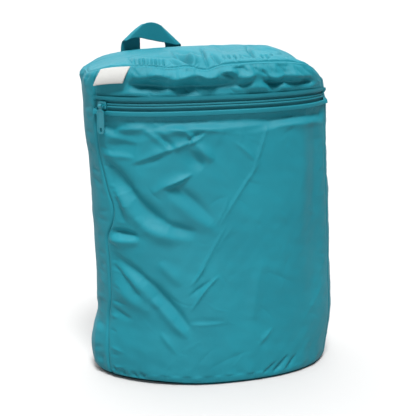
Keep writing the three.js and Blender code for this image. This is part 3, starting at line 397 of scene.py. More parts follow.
# Seeded small creases in a stretch of cloth, as rows of a fold table in mm
def scatterFolds(seed, count, box, direction, spread, length, width, rise):
    draw = np.random.RandomState(seed)
    rows = []
    for _ in range(count):
        x, y = draw.uniform(box[0], box[1]), draw.uniform(box[2], box[3])
        angle = math.radians(direction + draw.uniform(-spread, spread))
        half = draw.uniform(*length) / 2
        stepX, stepY = half * math.cos(angle), half * math.sin(angle)
        bend = draw.uniform(-variety["bend"], variety["bend"])
        size = draw.uniform(*rise) * draw.choice([-1, 1])
        rows.append((
            x - stepX, y - stepY, x - bend * stepY, y + bend * stepX, x + stepX, y + stepY,
            draw.uniform(*width), size, draw.uniform(*variety["creaseSharp"]),
        ))
    return rows


# Short gathers across an upright or level seam, in mm along the cloth and up it
def seamGathers(seed, fixed, low, high, spacing, length, width, rise, upright):
    draw = np.random.RandomState(seed)
    rows, at = [], low
    while at < high:
        reach, lean = draw.uniform(*length), draw.uniform(-variety["lean"], variety["lean"])
        size = draw.uniform(*rise) * (1 if draw.uniform() < variety["raised"] else -1)
        far, half = fixed + reach, fixed + reach / 2
        aside = lean * (reach if upright else abs(reach))
        beside = at + aside * variety["middleLean"]
        if upright:
            ends = (fixed, at, half, beside, far, at + aside)
        else:
            ends = (at, fixed, beside, half, at + aside, far)
        rows.append(ends + (draw.uniform(*width), size, draw.uniform(*variety["gatherSharp"])))
        at += draw.uniform(*spacing)
    return rows


# A row of topstitching draws the cloth in and puckers it. The small ones cross the row.
puckers = {
    "spacing": 60, "length": 70, "width": 1.5, "depth": -0.5, "sharp": 0.7,
    "smallSpacing": (3, 8), "smallLean": (-2, 2), "smallReach": (2, 6),
    "smallWidth": (0.8, 1.5), "smallRise": (-0.4, 0.3), "smallSharp": 0.5,
}


def stitchPuckers(seed, level, low, high):
    spacing, length = puckers["spacing"], puckers["length"]
    rows = []
    for i in range(int((high - low - spacing) / spacing)):
        begin = low + spacing * i
        rows.append((
            begin, level, begin + length / 2, level, begin + length, level,
            puckers["width"], puckers["depth"], puckers["sharp"],
        ))
    draw = np.random.RandomState(seed)
    at = low
    while at < high:
        lean, up = draw.uniform(*puckers["smallLean"]), draw.uniform(*puckers["smallReach"])
        width, size = draw.uniform(*puckers["smallWidth"]), draw.uniform(*puckers["smallRise"])
        ends = (at - lean, level - up, at, level, at + lean, level + up)
        rows.append(ends + (width, size, puckers["smallSharp"]))
        at += draw.uniform(*puckers["smallSpacing"])
    return rows


# The seeded creases and gathers that a panel's own values ask for
def smallFolds(values):
    rows = []
    for crease in values["creases"]:
        rows += scatterFolds(*crease)
    for gather in values["gathers"]:
        rows += seamGathers(*gather)
    return rows


# Under the zip the cloth runs in for a way before it swells out again. The run is longest
# near the slider, and waves along the front make it uneven. Lengths are in mm.
zipTuck = {
    "from": bag["zipHeight"] - 5.5, "run": 16, "back": 8, "depth": 6,
    "slack": 7, "slackAt": 42, "slackReach": 36,
    "runWave": 23, "runChange": 1.5, "backWave": 37, "backChange": 5,
    "longWave": 31, "longPhase": 1.2, "shortWave": 11,
    "even": 0.9, "longShare": 0.1, "shortShare": 0.06,
}


def tuckDepth(along, level):
    slack = zipTuck["slack"] * np.exp(-((along - zipTuck["slackAt"]) / zipTuck["slackReach"]) ** 2)
    run = zipTuck["run"] + slack + zipTuck["runChange"] * np.sin(along / zipTuck["runWave"])
    down = (zipTuck["from"] - level) / run
    inward = np.clip(down, 0, 1)
    back = zipTuck["back"] + zipTuck["backChange"] * np.sin(along / zipTuck["backWave"]) ** 2
    outward = 1 - ease((down - 1) * run / back)
    long = zipTuck["longShare"] * np.sin(along / zipTuck["longWave"] + zipTuck["longPhase"])
    short = zipTuck["shortShare"] * np.sin(along / zipTuck["shortWave"])
    return -zipTuck["depth"] * inward * outward * (zipTuck["even"] + long + short)


# The front of the top seam dips where the cloth sags: x, depth and reach in mm
seamDips = [(-60, -2.6, 13), (-20, -5.6, 14), (40, 0.9, 26), (96, -1.2, 12)]
# The dips start in front of the bag's middle, and fade out down the yoke
dipBlend = {"forward": 15, "run": 20, "level": 362, "rise": 27, "inward": 0.3}


def seamDip(x, y):
    dip = sum(depth * np.exp(-((x - place) / reach) ** 2) for place, depth, reach in seamDips)
    return dip * ease((-y - dipBlend["forward"]) / dipBlend["run"])


gathers = {
    "spacing": 26, "depth": 0.6, "reach": 26, "phase": 1,      # long ones over the base seam
    "puffSpacing": 52, "puffDepth": 2.2, "puffFrom": 9, "puffReach": 20, "puffPhase": 2,
    "finePuffDepth": 1.32, "morePuffs": 4,
    "frontPuffShare": 0.35,     # the front's puffs are drawn one by one instead
    "labelWidth": 36,
}


def addPiece(name, shape):
    mesh = bpy.data.meshes.new(name)
    shape.to_mesh(mesh)
    shape.free()
    piece = bpy.data.objects.new(name, mesh)
    bpy.context.scene.collection.objects.link(piece)
    return piece


def smooth(piece):
    piece.data.polygons.foreach_set("use_smooth", [True] * len(piece.data.polygons))


# A grid mesh shaped by a grid of points, with its cloth's own flat measures as UV, in metres
def shapedGrid(name, points, flatWidth, flatHeight):
    rows, columns = points.shape[0] - 1, points.shape[1] - 1
    shape = bmesh.new()
    shape.loops.layers.uv.new("cloth")
    bmesh.ops.create_grid(shape, x_segments=columns, y_segments=rows, size=0.5, calc_uvs=True)
    piece = addPiece(name, shape)
    mesh = piece.data
    flat = np.empty(len(mesh.vertices) * 3)
    mesh.vertices.foreach_get("co", flat)
    flat = flat.reshape(-1, 3)
    column = np.rint((flat[:, 0] + 0.5) * columns).astype(int)
    row = np.rint((flat[:, 1] + 0.5) * rows).astype(int)
    mesh.vertices.foreach_set("co", (points[row, column] * mm).ravel())
    corner = np.empty(len(mesh.loops), int)
    mesh.loops.foreach_get("vertex_index", corner)
    measures = [column[corner] / columns * flatWidth, row[corner] / rows * flatHeight]
    mesh.uv_layers[0].data.foreach_set("uv", (np.stack(measures, axis=1) * mm).ravel())
    smooth(piece)
    return piece


# A ribbon's wall, half to each side of its grid
def thicken(piece, thickness, evenly=False):
    wall = piece.modifiers.new("ribbon", "SOLIDIFY")
    wall.thickness = thickness * mm
    wall.offset = 0
    wall.use_even_offset = evenly


# Normals of a grid of points, outwards
def gridNormals(points):
    across = np.gradient(points, axis=1)
    up = np.gradient(points, axis=0)
    normal = np.cross(across, up)
    return normal / (np.linalg.norm(normal, axis=2)[:, :, None] + 1e-9)


slotLow, slotHigh = bag["zipHeight"] - bag["zipSlot"] / 2, bag["zipHeight"] + bag["zipSlot"] / 2
frontLength, backLength = (run[2] for run in levelLoop(bag["zipHeight"]))
# Rolled cloth edges beside the zip, as (distance past the edge, out)
lipRoll = [(3, 0), (1.4, 0.15), (0.6, 0.2), (0.15, 0), (0, -0.5), (0.15, -1.2), (1, -1.7), (5, -1.9)]
cloth = {
    "grid": 1.3, "yokeGrid": 1.0, "yokeRows": 1.4, "backGrid": 2.4,
    "seamDepth": 2.3, "seamReach": 1.25,    # how far the edges sink into a seam, and over what
    "allowance": 4,                         # seam allowance turned inwards
    "swell": 0.22, "shortSwell": 14, "longSwell": 60,
    # Relief fades out over these before the side seams, as a share, and the others, in mm
    "sideCalm": 0.035, "baseCalm": 7, "topCalm": 5, "zipCalm": 7, "besideZip": 3,
    "tapeLap": 4,                           # even rows start this far from the slot
}
# Closer columns and rows beside the seams, as distances from them, and where the even ones start
seamSteps = {
    "columns": [0, 0.35, 0.75, 1.2, 1.8, 2.5], "columnsTo": 3.2,
    "rows": [0, 0.35, 0.75, 1.3, 2], "rowsTo": 2.5,
}


# Gathers over the base seam and puffs under the top seam, at one level of the wall
def wallRelief(around, level, onFront):
    share = np.clip(around - (0 if onFront else 1), 0, 1)
    length = levelLoop(level)[0 if onFront else 1][2]

    def wave(count, phase):
        return np.sin(2 * np.pi * count * share + phase)

    fade = math.exp(-(level - bag["baseSeam"]) / gathers["reach"])
    rise = gathers["depth"] * wave(round(length / gathers["spacing"]), gathers["phase"]) * fade
    puffs = round(length / gathers["puffSpacing"])
    puff = gathers["puffDepth"] * wave(puffs, gathers["puffPhase"])
    puff = puff + gathers["finePuffDepth"] * wave(puffs + gathers["morePuffs"], 0)
    puff = puff * ease((level - bag["zipHeight"] - gathers["puffFrom"]) / gathers["puffReach"])
    if onFront:
        pastLabel = ease((length * share - gathers["labelWidth"]) / gathers["puffSpacing"])
        puff = puff * gathers["frontPuffShare"] * pastLabel
    return rise + puff


def nearSeams(share, length):
    close = np.array(seamSteps["columns"]) / length
    far = seamSteps["columnsTo"] / length
    return np.concatenate([close, share[(share > far) & (share < 1 - far)], 1 - close[::-1]])


# The front or back of the wall as a grid of points. Rows are (level, out) pairs, out being
# a height off the cloth's face.
def wallGrid(onFront, grid, rows, folds, extra, gain=2.3, hang=2.0):
    length = frontLength if onFront else backLength
    share = nearSeams(np.linspace(0, 1, int(length / grid) + 1), length)
    around = share if onFront else 1 + share
    levels = np.array([row[0] for row in rows])
    outs = np.array([row[1] for row in rows])
    points = np.stack([loopPoints(around, level) for level in levels])
    outward = np.stack([loopOutward(around, level) for level in levels])
    relief = np.stack([wallRelief(around, level, onFront) for level in levels])
    size = relief.shape
    flatX, flatZ = points[:, :, 0].ravel(), points[:, :, 2].ravel()
    relief += foldsHeight(folds, flatX, flatZ, bag["width"] / 2, bag["seamHeight"], gain, hang).reshape(size)
    alongWall, upWall = np.tile(share * length, len(levels)), np.repeat(levels, len(share))
    relief += foldsHeight(extra, alongWall, upWall, 1, 1).reshape(size)
    seed = 5 if onFront else 6
    swelling = swell(seed, alongWall, upWall, cloth["shortSwell"], cloth["longSwell"], cloth["swell"])
    relief += swelling.reshape(size)
    calm = ease(np.minimum(share, 1 - share) / cloth["sideCalm"])[None, :]
    fromBase, fromTop = levels - bag["baseSeam"], bag["seamHeight"] - levels
    fromZip = np.abs(levels - bag["zipHeight"]) - bag["zipSlot"] / 2 - cloth["besideZip"]
    zipCalm = ease(fromZip / cloth["zipCalm"]) if onFront else np.ones(len(levels))
    edges = (zipCalm * ease(fromBase / cloth["baseCalm"]) * ease(fromTop / cloth["topCalm"]))[:, None]
    height = relief * calm * edges
    if onFront:
        dip = seamDip(points[:, :, 0], points[:, :, 1])
        points[:, :, 2] += dip * ease((levels - dipBlend["level"]) / dipBlend["rise"])[:, None]
        height += tuckDepth(alongWall, upWall).reshape(size) * calm
    points = points + outward * height[:, :, None]
    points += gridNormals(points) * outs[:, None, None]
    return points, share, levels


# Even rows, with closer ones beside a seam at either end
def wallRows(low, high, step, seamBelow, seamAbove):
    count = max(2, int(round((high - low) / step)))
    levels = list(np.linspace(low, high, count + 1))
    close, far = seamSteps["rows"], seamSteps["rowsTo"]
    if seamBelow:
        levels = [low + gap for gap in close] + [level for level in levels if level > low + far]
    if seamAbove:
        levels = [level for level in levels if level < high - far] + [high - gap for gap in close[::-1]]
    rows = []
    for level in levels:
        below = level - low if seamBelow else math.inf
        above = high - level if seamAbove else math.inf
        rows.append((level, -seamSink(min(below, above))))
    return rows


def seamSink(gap):
    return cloth["seamDepth"] * np.exp(-(gap / cloth["seamReach"]) ** 2)


# Places inside an edge where its seam allowance ends
def allowance(edge):
    inward = -edge * np.array([1, 1, 0])
    inward /= np.linalg.norm(inward, axis=1)[:, None] + 1e-9
    return edge + inward * cloth["allowance"]


# A panel's side edges sink into the side seams and turn inwards
def sinkSides(points, share, length):
    gap = np.minimum(share, 1 - share) * length
    points = points - gridNormals(points) * seamSink(gap)[None, :, None]
    edges = [allowance(points[:, column])[:, None] for column in (0, -1)]
    return np.concatenate([edges[0], points, edges[1]], axis=1)


# The seam allowance at a panel's lowest or highest row
def turnIn(points, row, rise):
    turned = (allowance(points[row]) + np.array([0, 0, rise]))[None]
    return np.concatenate([turned, points] if row == 0 else [points, turned], axis=0)


# The filled cloth sags onto the floor round its base, less at the left
settle = {"depth": 0.6, "more": 2.4, "from": -95, "run": 70, "height": 22, "spread": 0.012}


def settleDepth(x):
    return settle["depth"] + settle["more"] * ease((x - settle["from"]) / settle["run"])


def restOnFloor(points):
    low = 1 - ease((points[:, :, 2] - bag["baseSeam"]) / settle["height"])
    points[:, :, 2] -= settleDepth(points[:, :, 0]) * low
    points[:, :, :2] *= 1 + settle["spread"] * low[:, :, None]
    return points


# Runs of points that the topstitching follows, without a few columns at the side seams
stitchRuns = []


def keepRun(points, levels, level, columnsFree=8):
    stitchRuns.append(points[np.argmin(np.abs(levels - level)), columnsFree:-columnsFree])


# In the values of a panel, creases are rows of seed, how many, box (from and to along the
# cloth, from and to up it), direction and its spread in degrees, lengths, widths and rises.
# Gathers are rows of seed, the seam's place, from, to, spacing, lengths, widths, rises and
# whether the seam is upright. Lengths are in mm.
frontValues = {
    "creases": [
        (11, 40, (30, frontLength - 12, 20, 320), 48, 26, (18, 60), (1.8, 4), (0.15, 0.5)),
        (12, 34, (20, frontLength - 12, 20, 322), -40, 30, (10, 36), (1.6, 3.4), (0.15, 0.5)),
        (13, 46, (30, frontLength - 10, 323, 334), -55, 18, (7, 15), (0.9, 1.6), (0.25, 0.6)),
    ],
    "gathers": [
        (14, 3, 16, 330, (9, 24), (9, 24), (1.6, 3.2), (0.5, 1.5), True),
        (15, frontLength - 3, 16, 330, (12, 30), (-20, -8), (1.8, 3.2), (0.2, 0.6), True),
        (16, 5, 8, frontLength - 8, (7, 22), (8, 24), (1.2, 2.8), (0.08, 0.42), False),
    ],
    "puckers": (17, 329, 10, frontLength - 10),     # seed, level, from, to
    "stitchRow": 331,
}


def makeFrontPanel():
    rows = wallRows(bag["baseSeam"], slotLow - cloth["tapeLap"], cloth["grid"], True, False)
    rows += [(slotLow - past, out) for past, out in lipRoll]
    creases = smallFolds(frontValues) + stitchPuckers(*frontValues["puckers"])
    points, share, levels = wallGrid(True, cloth["grid"], rows, frontFolds, creases)
    keepRun(points, levels, frontValues["stitchRow"])
    points = turnIn(sinkSides(restOnFloor(points), share, frontLength), 0, 0)
    return shapedGrid("frontPanelCloth", points, frontLength, slotLow - bag["baseSeam"])


topTurn = -3        # the upper allowance also turns down this far

yokeValues = {
    "creases": [(21, 40, (46, frontLength - 10, 354, 364), -50, 16, (7, 15), (0.8, 1.5), (0.2, 0.5))],
    "gathers": [
        (22, 389, 46, frontLength - 6, (3.5, 8), (-15, -6), (0.9, 1.9), (0.3, 0.9), False),
        (23, 3, 354, 386, (7, 14), (6, 14), (1.4, 2.4), (0.4, 1), True),
        (24, frontLength - 3, 354, 386, (6, 12), (-16, -6), (1.4, 2.4), (0.4, 1), True),
    ],
    "gain": 2.0, "hang": 1.4,
    "stitchRows": [357.5, 387.5],
}


def makeFrontYoke():
    rows = [(slotHigh + past, out) for past, out in reversed(lipRoll)]
    rows += wallRows(slotHigh + cloth["tapeLap"], bag["seamHeight"], cloth["yokeRows"], False, True)
    points, share, levels = wallGrid(
        True, cloth["yokeGrid"], rows, yokeFolds, smallFolds(yokeValues),
        yokeValues["gain"], yokeValues["hang"],
    )
    for level in yokeValues["stitchRows"]:
        keepRun(points, levels, level)
    points = turnIn(sinkSides(points, share, frontLength), -1, topTurn)
    return shapedGrid("frontYokeCloth", points, frontLength, bag["seamHeight"] - slotHigh)


backValues = {
    "creases": [(31, 60, (20, backLength - 20, 20, 372), 48, 40, (18, 70), (3, 6), (0.3, 1))],
    "gathers": [
        (32, 3, 16, 380, (12, 30), (10, 30), (2.6, 4), (0.3, 0.7), True),
        (33, backLength - 3, 16, 380, (9, 22), (-30, -10), (2.6, 4), (0.6, 1.8), True),
        (34, 5, 8, backLength - 8, (6, 14), (8, 26), (2.2, 3.4), (0.4, 1.3), False),
        (35, 388, 8, backLength - 8, (5, 12), (-26, -8), (2.2, 3.2), (0.4, 1.3), False),
    ],
    "gain": 2.2,
}


def makeBackPanel():
    rows = wallRows(bag["baseSeam"], bag["seamHeight"], cloth["backGrid"], True, True)
    creases = smallFolds(backValues)
    points, share, _ = wallGrid(False, cloth["backGrid"], rows, backFolds, creases, backValues["gain"])
    points = turnIn(turnIn(sinkSides(restOnFloor(points), share, backLength), 0, 0), -1, topTurn)
    return shapedGrid("backPanelCloth", points, backLength, bag["seamHeight"] - bag["baseSeam"])


# Square grid places turned into places of a round panel: around 0 to 2, inward 0 to 1
def roundPlaces(steps):
    line = np.linspace(-1, 1, steps + 1)
    a, b = np.meshgrid(line, line)
    wide = np.abs(a) > np.abs(b)
    small = np.where(wide, b, a)
    big = np.where(wide, a, b)
    safe = np.where(np.abs(big) < 1e-9, 1, big)
    angle = np.where(wide, math.pi / 4 * small / safe, math.pi / 2 - math.pi / 4 * small / safe)
    angle = np.where(big < 0, angle + math.pi, angle)
    return np.mod(angle / math.pi, 2), 1 - np.abs(big)


# A round panel's places and, for each, the point of the seam outside it
def roundPanel(steps, level):
    around, inward = roundPlaces(steps)
    edge = loopPoints(around.ravel(), level).reshape(around.shape + (3,))
    x, y = edge[:, :, 0] * (1 - inward), edge[:, :, 1] * (1 - inward)
    return around, inward, edge, x, y


topValues = {
    "steps": 260,                   # grid squares across
    "toMiddle": 70,                 # mm from the seam to the middle, as the panel's short way
    "creases": (41, 46, (-120, 110, -50, 50), 60, 60, (12, 40), (1.6, 3.4), (0.15, 0.6)),
    "gain": 2.9, "swell": (7, 14, 50, 0.25),        # seed, shortest, longest, height
    "calm": 0.05,                   # share of the way in over which the relief starts
    # Gathers along the seam: spacing and width as shares of the way round, rise and reach in mm
    "gatherSeed": 42, "gatherSpacing": (0.009, 0.03), "gatherWidth": (0.003, 0.006),
    "gatherRise": (-1.2, 0.6), "gatherReach": (4, 12), "gatherMost": 100, "gatherTo": 1.99,
    "stitchInset": 5,               # grid squares in from the seam
}


# Small uneven gathers across the top seam, by the way round and the distance from it
def edgeGathers(around, fromEdge):
    draw = np.random.RandomState(topValues["gatherSeed"])
    total = np.zeros_like(around)
    for at in np.cumsum(draw.uniform(*topValues["gatherSpacing"], topValues["gatherMost"])):
        if at > topValues["gatherTo"]:
            break
        width, size = draw.uniform(*topValues["gatherWidth"]), draw.uniform(*topValues["gatherRise"])
        reach = draw.uniform(*topValues["gatherReach"])
        total += size * np.exp(-((around - at) / width) ** 2) * np.exp(-(fromEdge / reach) ** 2)
    return total


def makeTopPanel():
    around, inward, edge, x, y = roundPanel(topValues["steps"], bag["seamHeight"])
    fromSeam = inward * topValues["toMiddle"]
    mixShare = np.clip(0.5 + edge[:, :, 0] / bag["width"], 0, 1)
    power = bag["riseLeft"] + (bag["riseRight"] - bag["riseLeft"]) * mixShare
    z = edge[:, :, 2] + (bag["crown"] - edge[:, :, 2]) * (1 - (1 - inward) ** power)
    flatX, flatY = x.ravel(), y.ravel()
    creases = scatterFolds(*topValues["creases"])
    dents = foldsHeight(topFolds, flatX, flatY, bag["width"] / 2, bag["depth"] / 2, topValues["gain"], 1)
    seed, shortest, longest, height = topValues["swell"]
    dents += foldsHeight(creases, flatX, flatY, 1, 1) + swell(seed, flatX, flatY, shortest, longest, height)
    dents += edgeGathers(around.ravel(), fromSeam.ravel())
    z += dents.reshape(x.shape) * ease(inward / topValues["calm"])
    z += seamDip(x, y) * (1 - ease(inward / dipBlend["inward"]))
    points = np.stack([x, y, z], axis=2)
    points -= gridNormals(points) * seamSink(fromSeam)[:, :, None]
    beside = topValues["stitchInset"]
    stitchRuns.append(points[beside, beside:-beside])
    return shapedGrid("topPanelCloth", points, bag["width"], bag["depth"])


# The base meets the settled wall at its edge and is flat on the floor further in
baseValues = {"steps": 100, "edge": 0.08, "spread": 1.01}


def makeBasePanel():
    _, inward, _, x, y = roundPanel(baseValues["steps"], bag["baseSeam"])
    z = (bag["baseSeam"] - settleDepth(x)) * (1 - ease(inward / baseValues["edge"]))
    points = np.stack([x * baseValues["spread"], y * baseValues["spread"], z], axis=2)[:, ::-1]
    return shapedGrid("basePanelCloth", points, bag["width"], bag["depth"])


# Handle strap: places of its two edges along its length, as shares of its width, and
# how far its middle bows up between them
strapPath = [
    (0, -0.574, 0, 0, 0.478, 0, 0, 0),
    (0.093, -0.552, 0, 0.261, 0.474, 0, 0.522, 0),
    (0.175, -0.496, -0.026, 0.448, 0.474, -0.013, 1.043, 0.026),
    (0.242, -0.43, -0.174, 0.548, 0.504, -0.165, 1.313, 0.052),
    (0.286, -0.374, -0.33, 0.539, 0.591, -0.322, 1.391, 0.026),
    (0.344, -0.109, -0.365, 0.665, 0.722, -0.339, 1.443, 0),
    (0.42, 0.304, -0.365, 0.704, 0.896, -0.33, 1.478, 0),
    (0.501, 0.826, -0.348, 0.583, 1.087, -0.322, 1.474, 0),
    (0.586, 1.348, -0.33, 0.461, 1.27, -0.304, 1.435, 0),
    (0.668, 1.87, -0.313, 0.348, 1.426, -0.296, 1.365, 0),
    (0.75, 2.413, -0.287, 0.213, 1.548, -0.27, 1.278, 0),
    (0.802, 2.678, -0.139, 0.2, 1.635, -0.139, 1.2, 0.013),
    (0.847, 2.73, 0, 0.104, 1.696, 0, 1.043, 0.009),
    (0.947, 2.757, 0.013, 0.06, 1.839, 0.009, 0.348, 0),
    (1, 2.774, 0.013, 0.025, 1.913, 0.009, 0.025, 0),
]
strap = {
    "width": 23, "lengthInWidths": 4.3, "wall": 1.6, "columns": 22, "rows": 150,
    "origin": (-88.082, 52.757, 391.242), "turn": 5.893228,
    "nearFoot": 0.06, "farFoot": 0.05, "sunk": 2.5,     # shares of the length sunk into the cloth
}


def strapPoint(across, along):
    columns = [curveThrough(strapPath, i, along) * strap["width"] for i in range(1, 8)]
    outer, inner = np.stack(columns[0:3], axis=-1), np.stack(columns[3:6], axis=-1)
    point = outer * (1 - across)[:, None] + inner * across[:, None]
    point[:, 2] += columns[6] * 4 * across * (1 - across)
    return point


def makeStrap():
    widths, lengths = np.linspace(0, 1, strap["columns"] + 1), np.linspace(0, 1, strap["rows"] + 1)
    across, along = np.meshgrid(widths, lengths)
    local = strapPoint(across.ravel(), along.ravel())
    near = ease((strap["nearFoot"] - along) / strap["nearFoot"])
    far = ease((along - (1 - strap["farFoot"])) / strap["farFoot"])
    local[:, 2] -= np.maximum(near, far).ravel() * strap["sunk"]
    turn = math.radians(strap["turn"])
    world = np.stack([
        local[:, 0] * math.cos(turn) - local[:, 1] * math.sin(turn),
        local[:, 0] * math.sin(turn) + local[:, 1] * math.cos(turn),
        local[:, 2],
    ], axis=1) + np.array(strap["origin"])
    length = strap["lengthInWidths"] * strap["width"]
    piece = shapedGrid("handleStrap", world.reshape(across.shape + (3,)), strap["width"], length)
    thicken(piece, strap["wall"], True)
    return piece


# Blank label: a ribbon folded at its lower end, whose two plies bow out from the cloth
label = {
    "width": 36, "drop": 17.5, "start": 5.4, "down": 1.6, "standOff": 10, "slant": 6.2,
    "off": 1.1, "ply": 0.6, "wall": 0.45,
    "columns": 24, "rows": 15, "foldSteps": 8, "foldFrom": 0.955,
}


def makeLabel():
    length = levelLoop(bag["seamHeight"])[0][2]
    ends = label["start"] / length, (label["start"] + label["width"]) / length
    shares = np.linspace(*ends, label["columns"] + 1)
    top = loopPoints(shares, bag["seamHeight"]) - np.array([0, 0, label["down"]])
    out = loopOutward(np.array([shares.mean()]), bag["seamHeight"])[0]
    side = np.array([-out[1], out[0], 0])
    foldFrom = label["foldFrom"]
    fold = [(math.sin(angle), math.cos(angle)) for angle in np.linspace(0, math.pi, label["foldSteps"] + 1)]
    profile = [(down, 1) for down in np.linspace(0, foldFrom, label["rows"] + 1)]
    profile += [(foldFrom + (1 - foldFrom) * deep, face) for deep, face in fold[1:-1]]
    profile += [(down, -1) for down in np.linspace(foldFrom, 0, label["rows"] + 1)]
    rows = []
    for down, face in profile:
        off = label["standOff"] * (1 - (1 - down) ** 2) + label["off"] + face * label["ply"]
        rows.append(top + out * off - side * label["slant"] * down - np.array([0, 0, label["drop"] * down]))
    piece = shapedGrid("blankLabel", np.stack(rows)[:, ::-1], label["width"], 2 * label["drop"])
    thicken(piece, label["wall"])
    return piece


# Zip: a strip of cloth tape and, in front of its split, the covered coil. Each is a
# profile of (height off the zip's middle, out) swept along the front.
zipper = {
    "step": 1.5, "play": 0.4, "chainStart": 16.8,
    "tapeHalf": 10.5, "tapeRows": 42, "tapeBack": 1.9, "ridgeAt": 9, "ridgeWidth": 2, "ridge": 0.4,
    "coilHalf": 1.55, "coilRadius": 1.5, "coilBack": 1.7, "coilRise": 2.0, "coilRound": 0.8,
    "coilSteps": 12, "coilFlat": 8,
}


def zipSweep(name, profile, start, flatHeight):
    begin, finish = start / frontLength, 1 - zipper["play"] / frontLength
    columns = int(frontLength * (finish - begin) / zipper["step"])
    around = np.linspace(begin, finish, columns + 1)
    levels = [bag["zipHeight"] + rise for rise, _ in profile]
    points = np.stack([loopPoints(around, level) for level in levels])
    normal = np.stack([loopOutward(around, level) for level in levels])
    points = points + normal * np.array([out for _, out in profile])[:, None, None]
    return shapedGrid(name, points, frontLength * (finish - begin), flatHeight)


def makeZipTape():
    half, profile = zipper["tapeHalf"], []
    for rise in np.linspace(-half, half, zipper["tapeRows"] + 1):
        ridge = zipper["ridge"] * math.exp(-((abs(rise) - zipper["ridgeAt"]) / zipper["ridgeWidth"]) ** 2)
        profile.append((rise, -zipper["tapeBack"] - ridge))
    return zipSweep("zipTape", profile, zipper["play"], 2 * half)


def makeZipCoil():
    profile = []
    for side in (-1, 1):
        for angle in np.linspace(0, math.pi, zipper["coilSteps"] + 1):
            rise = side * zipper["coilHalf"] - zipper["coilRadius"] * math.cos(angle)
            out = -zipper["coilBack"] + zipper["coilRise"] * math.sin(angle) ** zipper["coilRound"]
            profile.append((rise, out))
    return zipSweep("zipCoil", profile, zipper["chainStart"], zipper["coilFlat"])


# Topstitching in polyester thread: small rounded stitches, sunk a little into the cloth
stitch = {"pitch": 3.2, "length": 2.5, "width": 0.55, "proud": 0.16}


def makeTopstitching():
    shape = bmesh.new()
    pitch = stitch["pitch"]
    sizes = Matrix.Diagonal((stitch["length"], stitch["width"], stitch["width"], 1))
    for run in stitchRuns:
        along = np.concatenate([[0], np.cumsum(np.linalg.norm(np.diff(run, axis=0), axis=1))])
        for at in np.arange(pitch, along[-1] - pitch, pitch):
            place, ahead = (
                Vector([np.interp(at + step, along, run[:, axis]) for axis in range(3)]) for step in (0, 1)
            )
            forward = (ahead - place).normalized()
            outward = forward.cross(Vector((0, 0, 1))).normalized()
            up = outward.cross(forward) * -1
            if run is stitchRuns[-1]:       # the top panel's row lies level
                outward, up = up, outward * -1
            turned = Matrix((forward, up, outward)).transposed().to_4x4()
            matrix = Matrix.Translation((place + outward * stitch["proud"]) * mm) @ turned @ sizes
            bmesh.ops.create_icosphere(shape, subdivisions=1, radius=0.5 * mm, matrix=matrix)
    bmesh.ops.recalc_face_normals(shape, faces=shape.faces)
    piece = addPiece("topstitching", shape)
    smooth(piece)
    return piece


print("shaping the bag")
frontPanel = makeFrontPanel()
frontYoke = makeFrontYoke()
backPanel = makeBackPanel()
topPanel = makeTopPanel()
basePanel = makeBasePanel()
topstitching = makeTopstitching()
print("shaping the zip, the handle and the label")
zipTape = makeZipTape()
zipCoil = makeZipCoil()
handleStrap = makeStrap()
blankLabel = makeLabel()


def linear(code):
    parts = [int(code[i:i + 2], 16) / 255 for i in (1, 3, 5)]
    return tuple(v / 12.92 if v <= 0.04045 else ((v + 0.055) / 1.055) ** 2.4 for v in parts) + (1,)


# A noise pattern's scale from the size of its grains in mm
def grains(size):
    return 1 / (size * mm)


def setInputs(node, values):
    for name, value in values.items():
        node.inputs[name].default_value = value


# Adds a node with its settings, and links given as {input: (node, output)}
def addNode(tree, kind, settings=None, links=None, **values):
    node = tree.nodes.new(kind)
    for name, value in (settings or {}).items():
        setattr(node, name, value)
    setInputs(node, {name.replace("_", " "): value for name, value in values.items()})
    for name, (source, output) in (links or {}).items():
        tree.links.new(source.outputs[output], node.inputs[name])
    return node


def newMaterial(name):
    material = bpy.data.materials.new(name)
    material.use_nodes = True
    tree = material.node_tree
    tree.nodes.clear()
    shader = addNode(tree, "ShaderNodeBsdfPrincipled")
    addNode(tree, "ShaderNodeOutputMaterial", links={"Surface": (shader, "BSDF")})
    return material, tree, shader


# Bump from several node outputs in turn: (height, how strong, how deep in mm)
def addBumps(tree, shader, bumps):
    last = None
    for height, strength, depth in bumps:
        links = {"Height": height}
        if last:
            links["Normal"] = (last, "Normal")
        last = addNode(tree, "ShaderNodeBump", links=links, Strength=strength, Distance=depth * mm)
    tree.links.new(last.outputs["Normal"], shader.inputs["Normal"])


# Roughness that varies a little with a pattern
def addRoughness(tree, shader, pattern, low, high):
    rough = addNode(
        tree, "ShaderNodeMapRange", links={"Value": (pattern, "Fac")}, To_Min=low, To_Max=high,
    )
    tree.links.new(rough.outputs["Result"], shader.inputs["Roughness"])


# Plain woven cloth: two sets of threads at right angles, along the piece's own UV.
# Real threads are about 0.2 mm apart, too fine to show, so they are drawn coarser.
def threads(tree, spacing):
    place = addNode(tree, "ShaderNodeUVMap", {"uv_map": "cloth"})
    waves = []
    for direction in ("X", "Y"):
        waves.append(addNode(
            tree, "ShaderNodeTexWave", {"wave_type": "BANDS", "bands_direction": direction},
            {"Vector": (place, "UV")}, Scale=math.pi / 10 / (spacing * mm), Distortion=0.6, Detail=1.0,
        ))
    sides = {0: (waves[0], "Fac"), 1: (waves[1], "Fac")}
    return addNode(tree, "ShaderNodeMath", {"operation": "ADD"}, sides)


# Grain sizes in mm, and bumps as strength and depth in mm
polyester = {
    "clouds": 71.43, "grain": 1.111, "crinkle": 7.692,
    "crinkleBump": (0.35, 0.5), "weaveBump": (0.25, 0.12), "roughness": (0.56, 0.68),
    "sockets": {"Specular IOR Level": 0.24, "Sheen Weight": 0.01, "Sheen Roughness": 0.4},
}


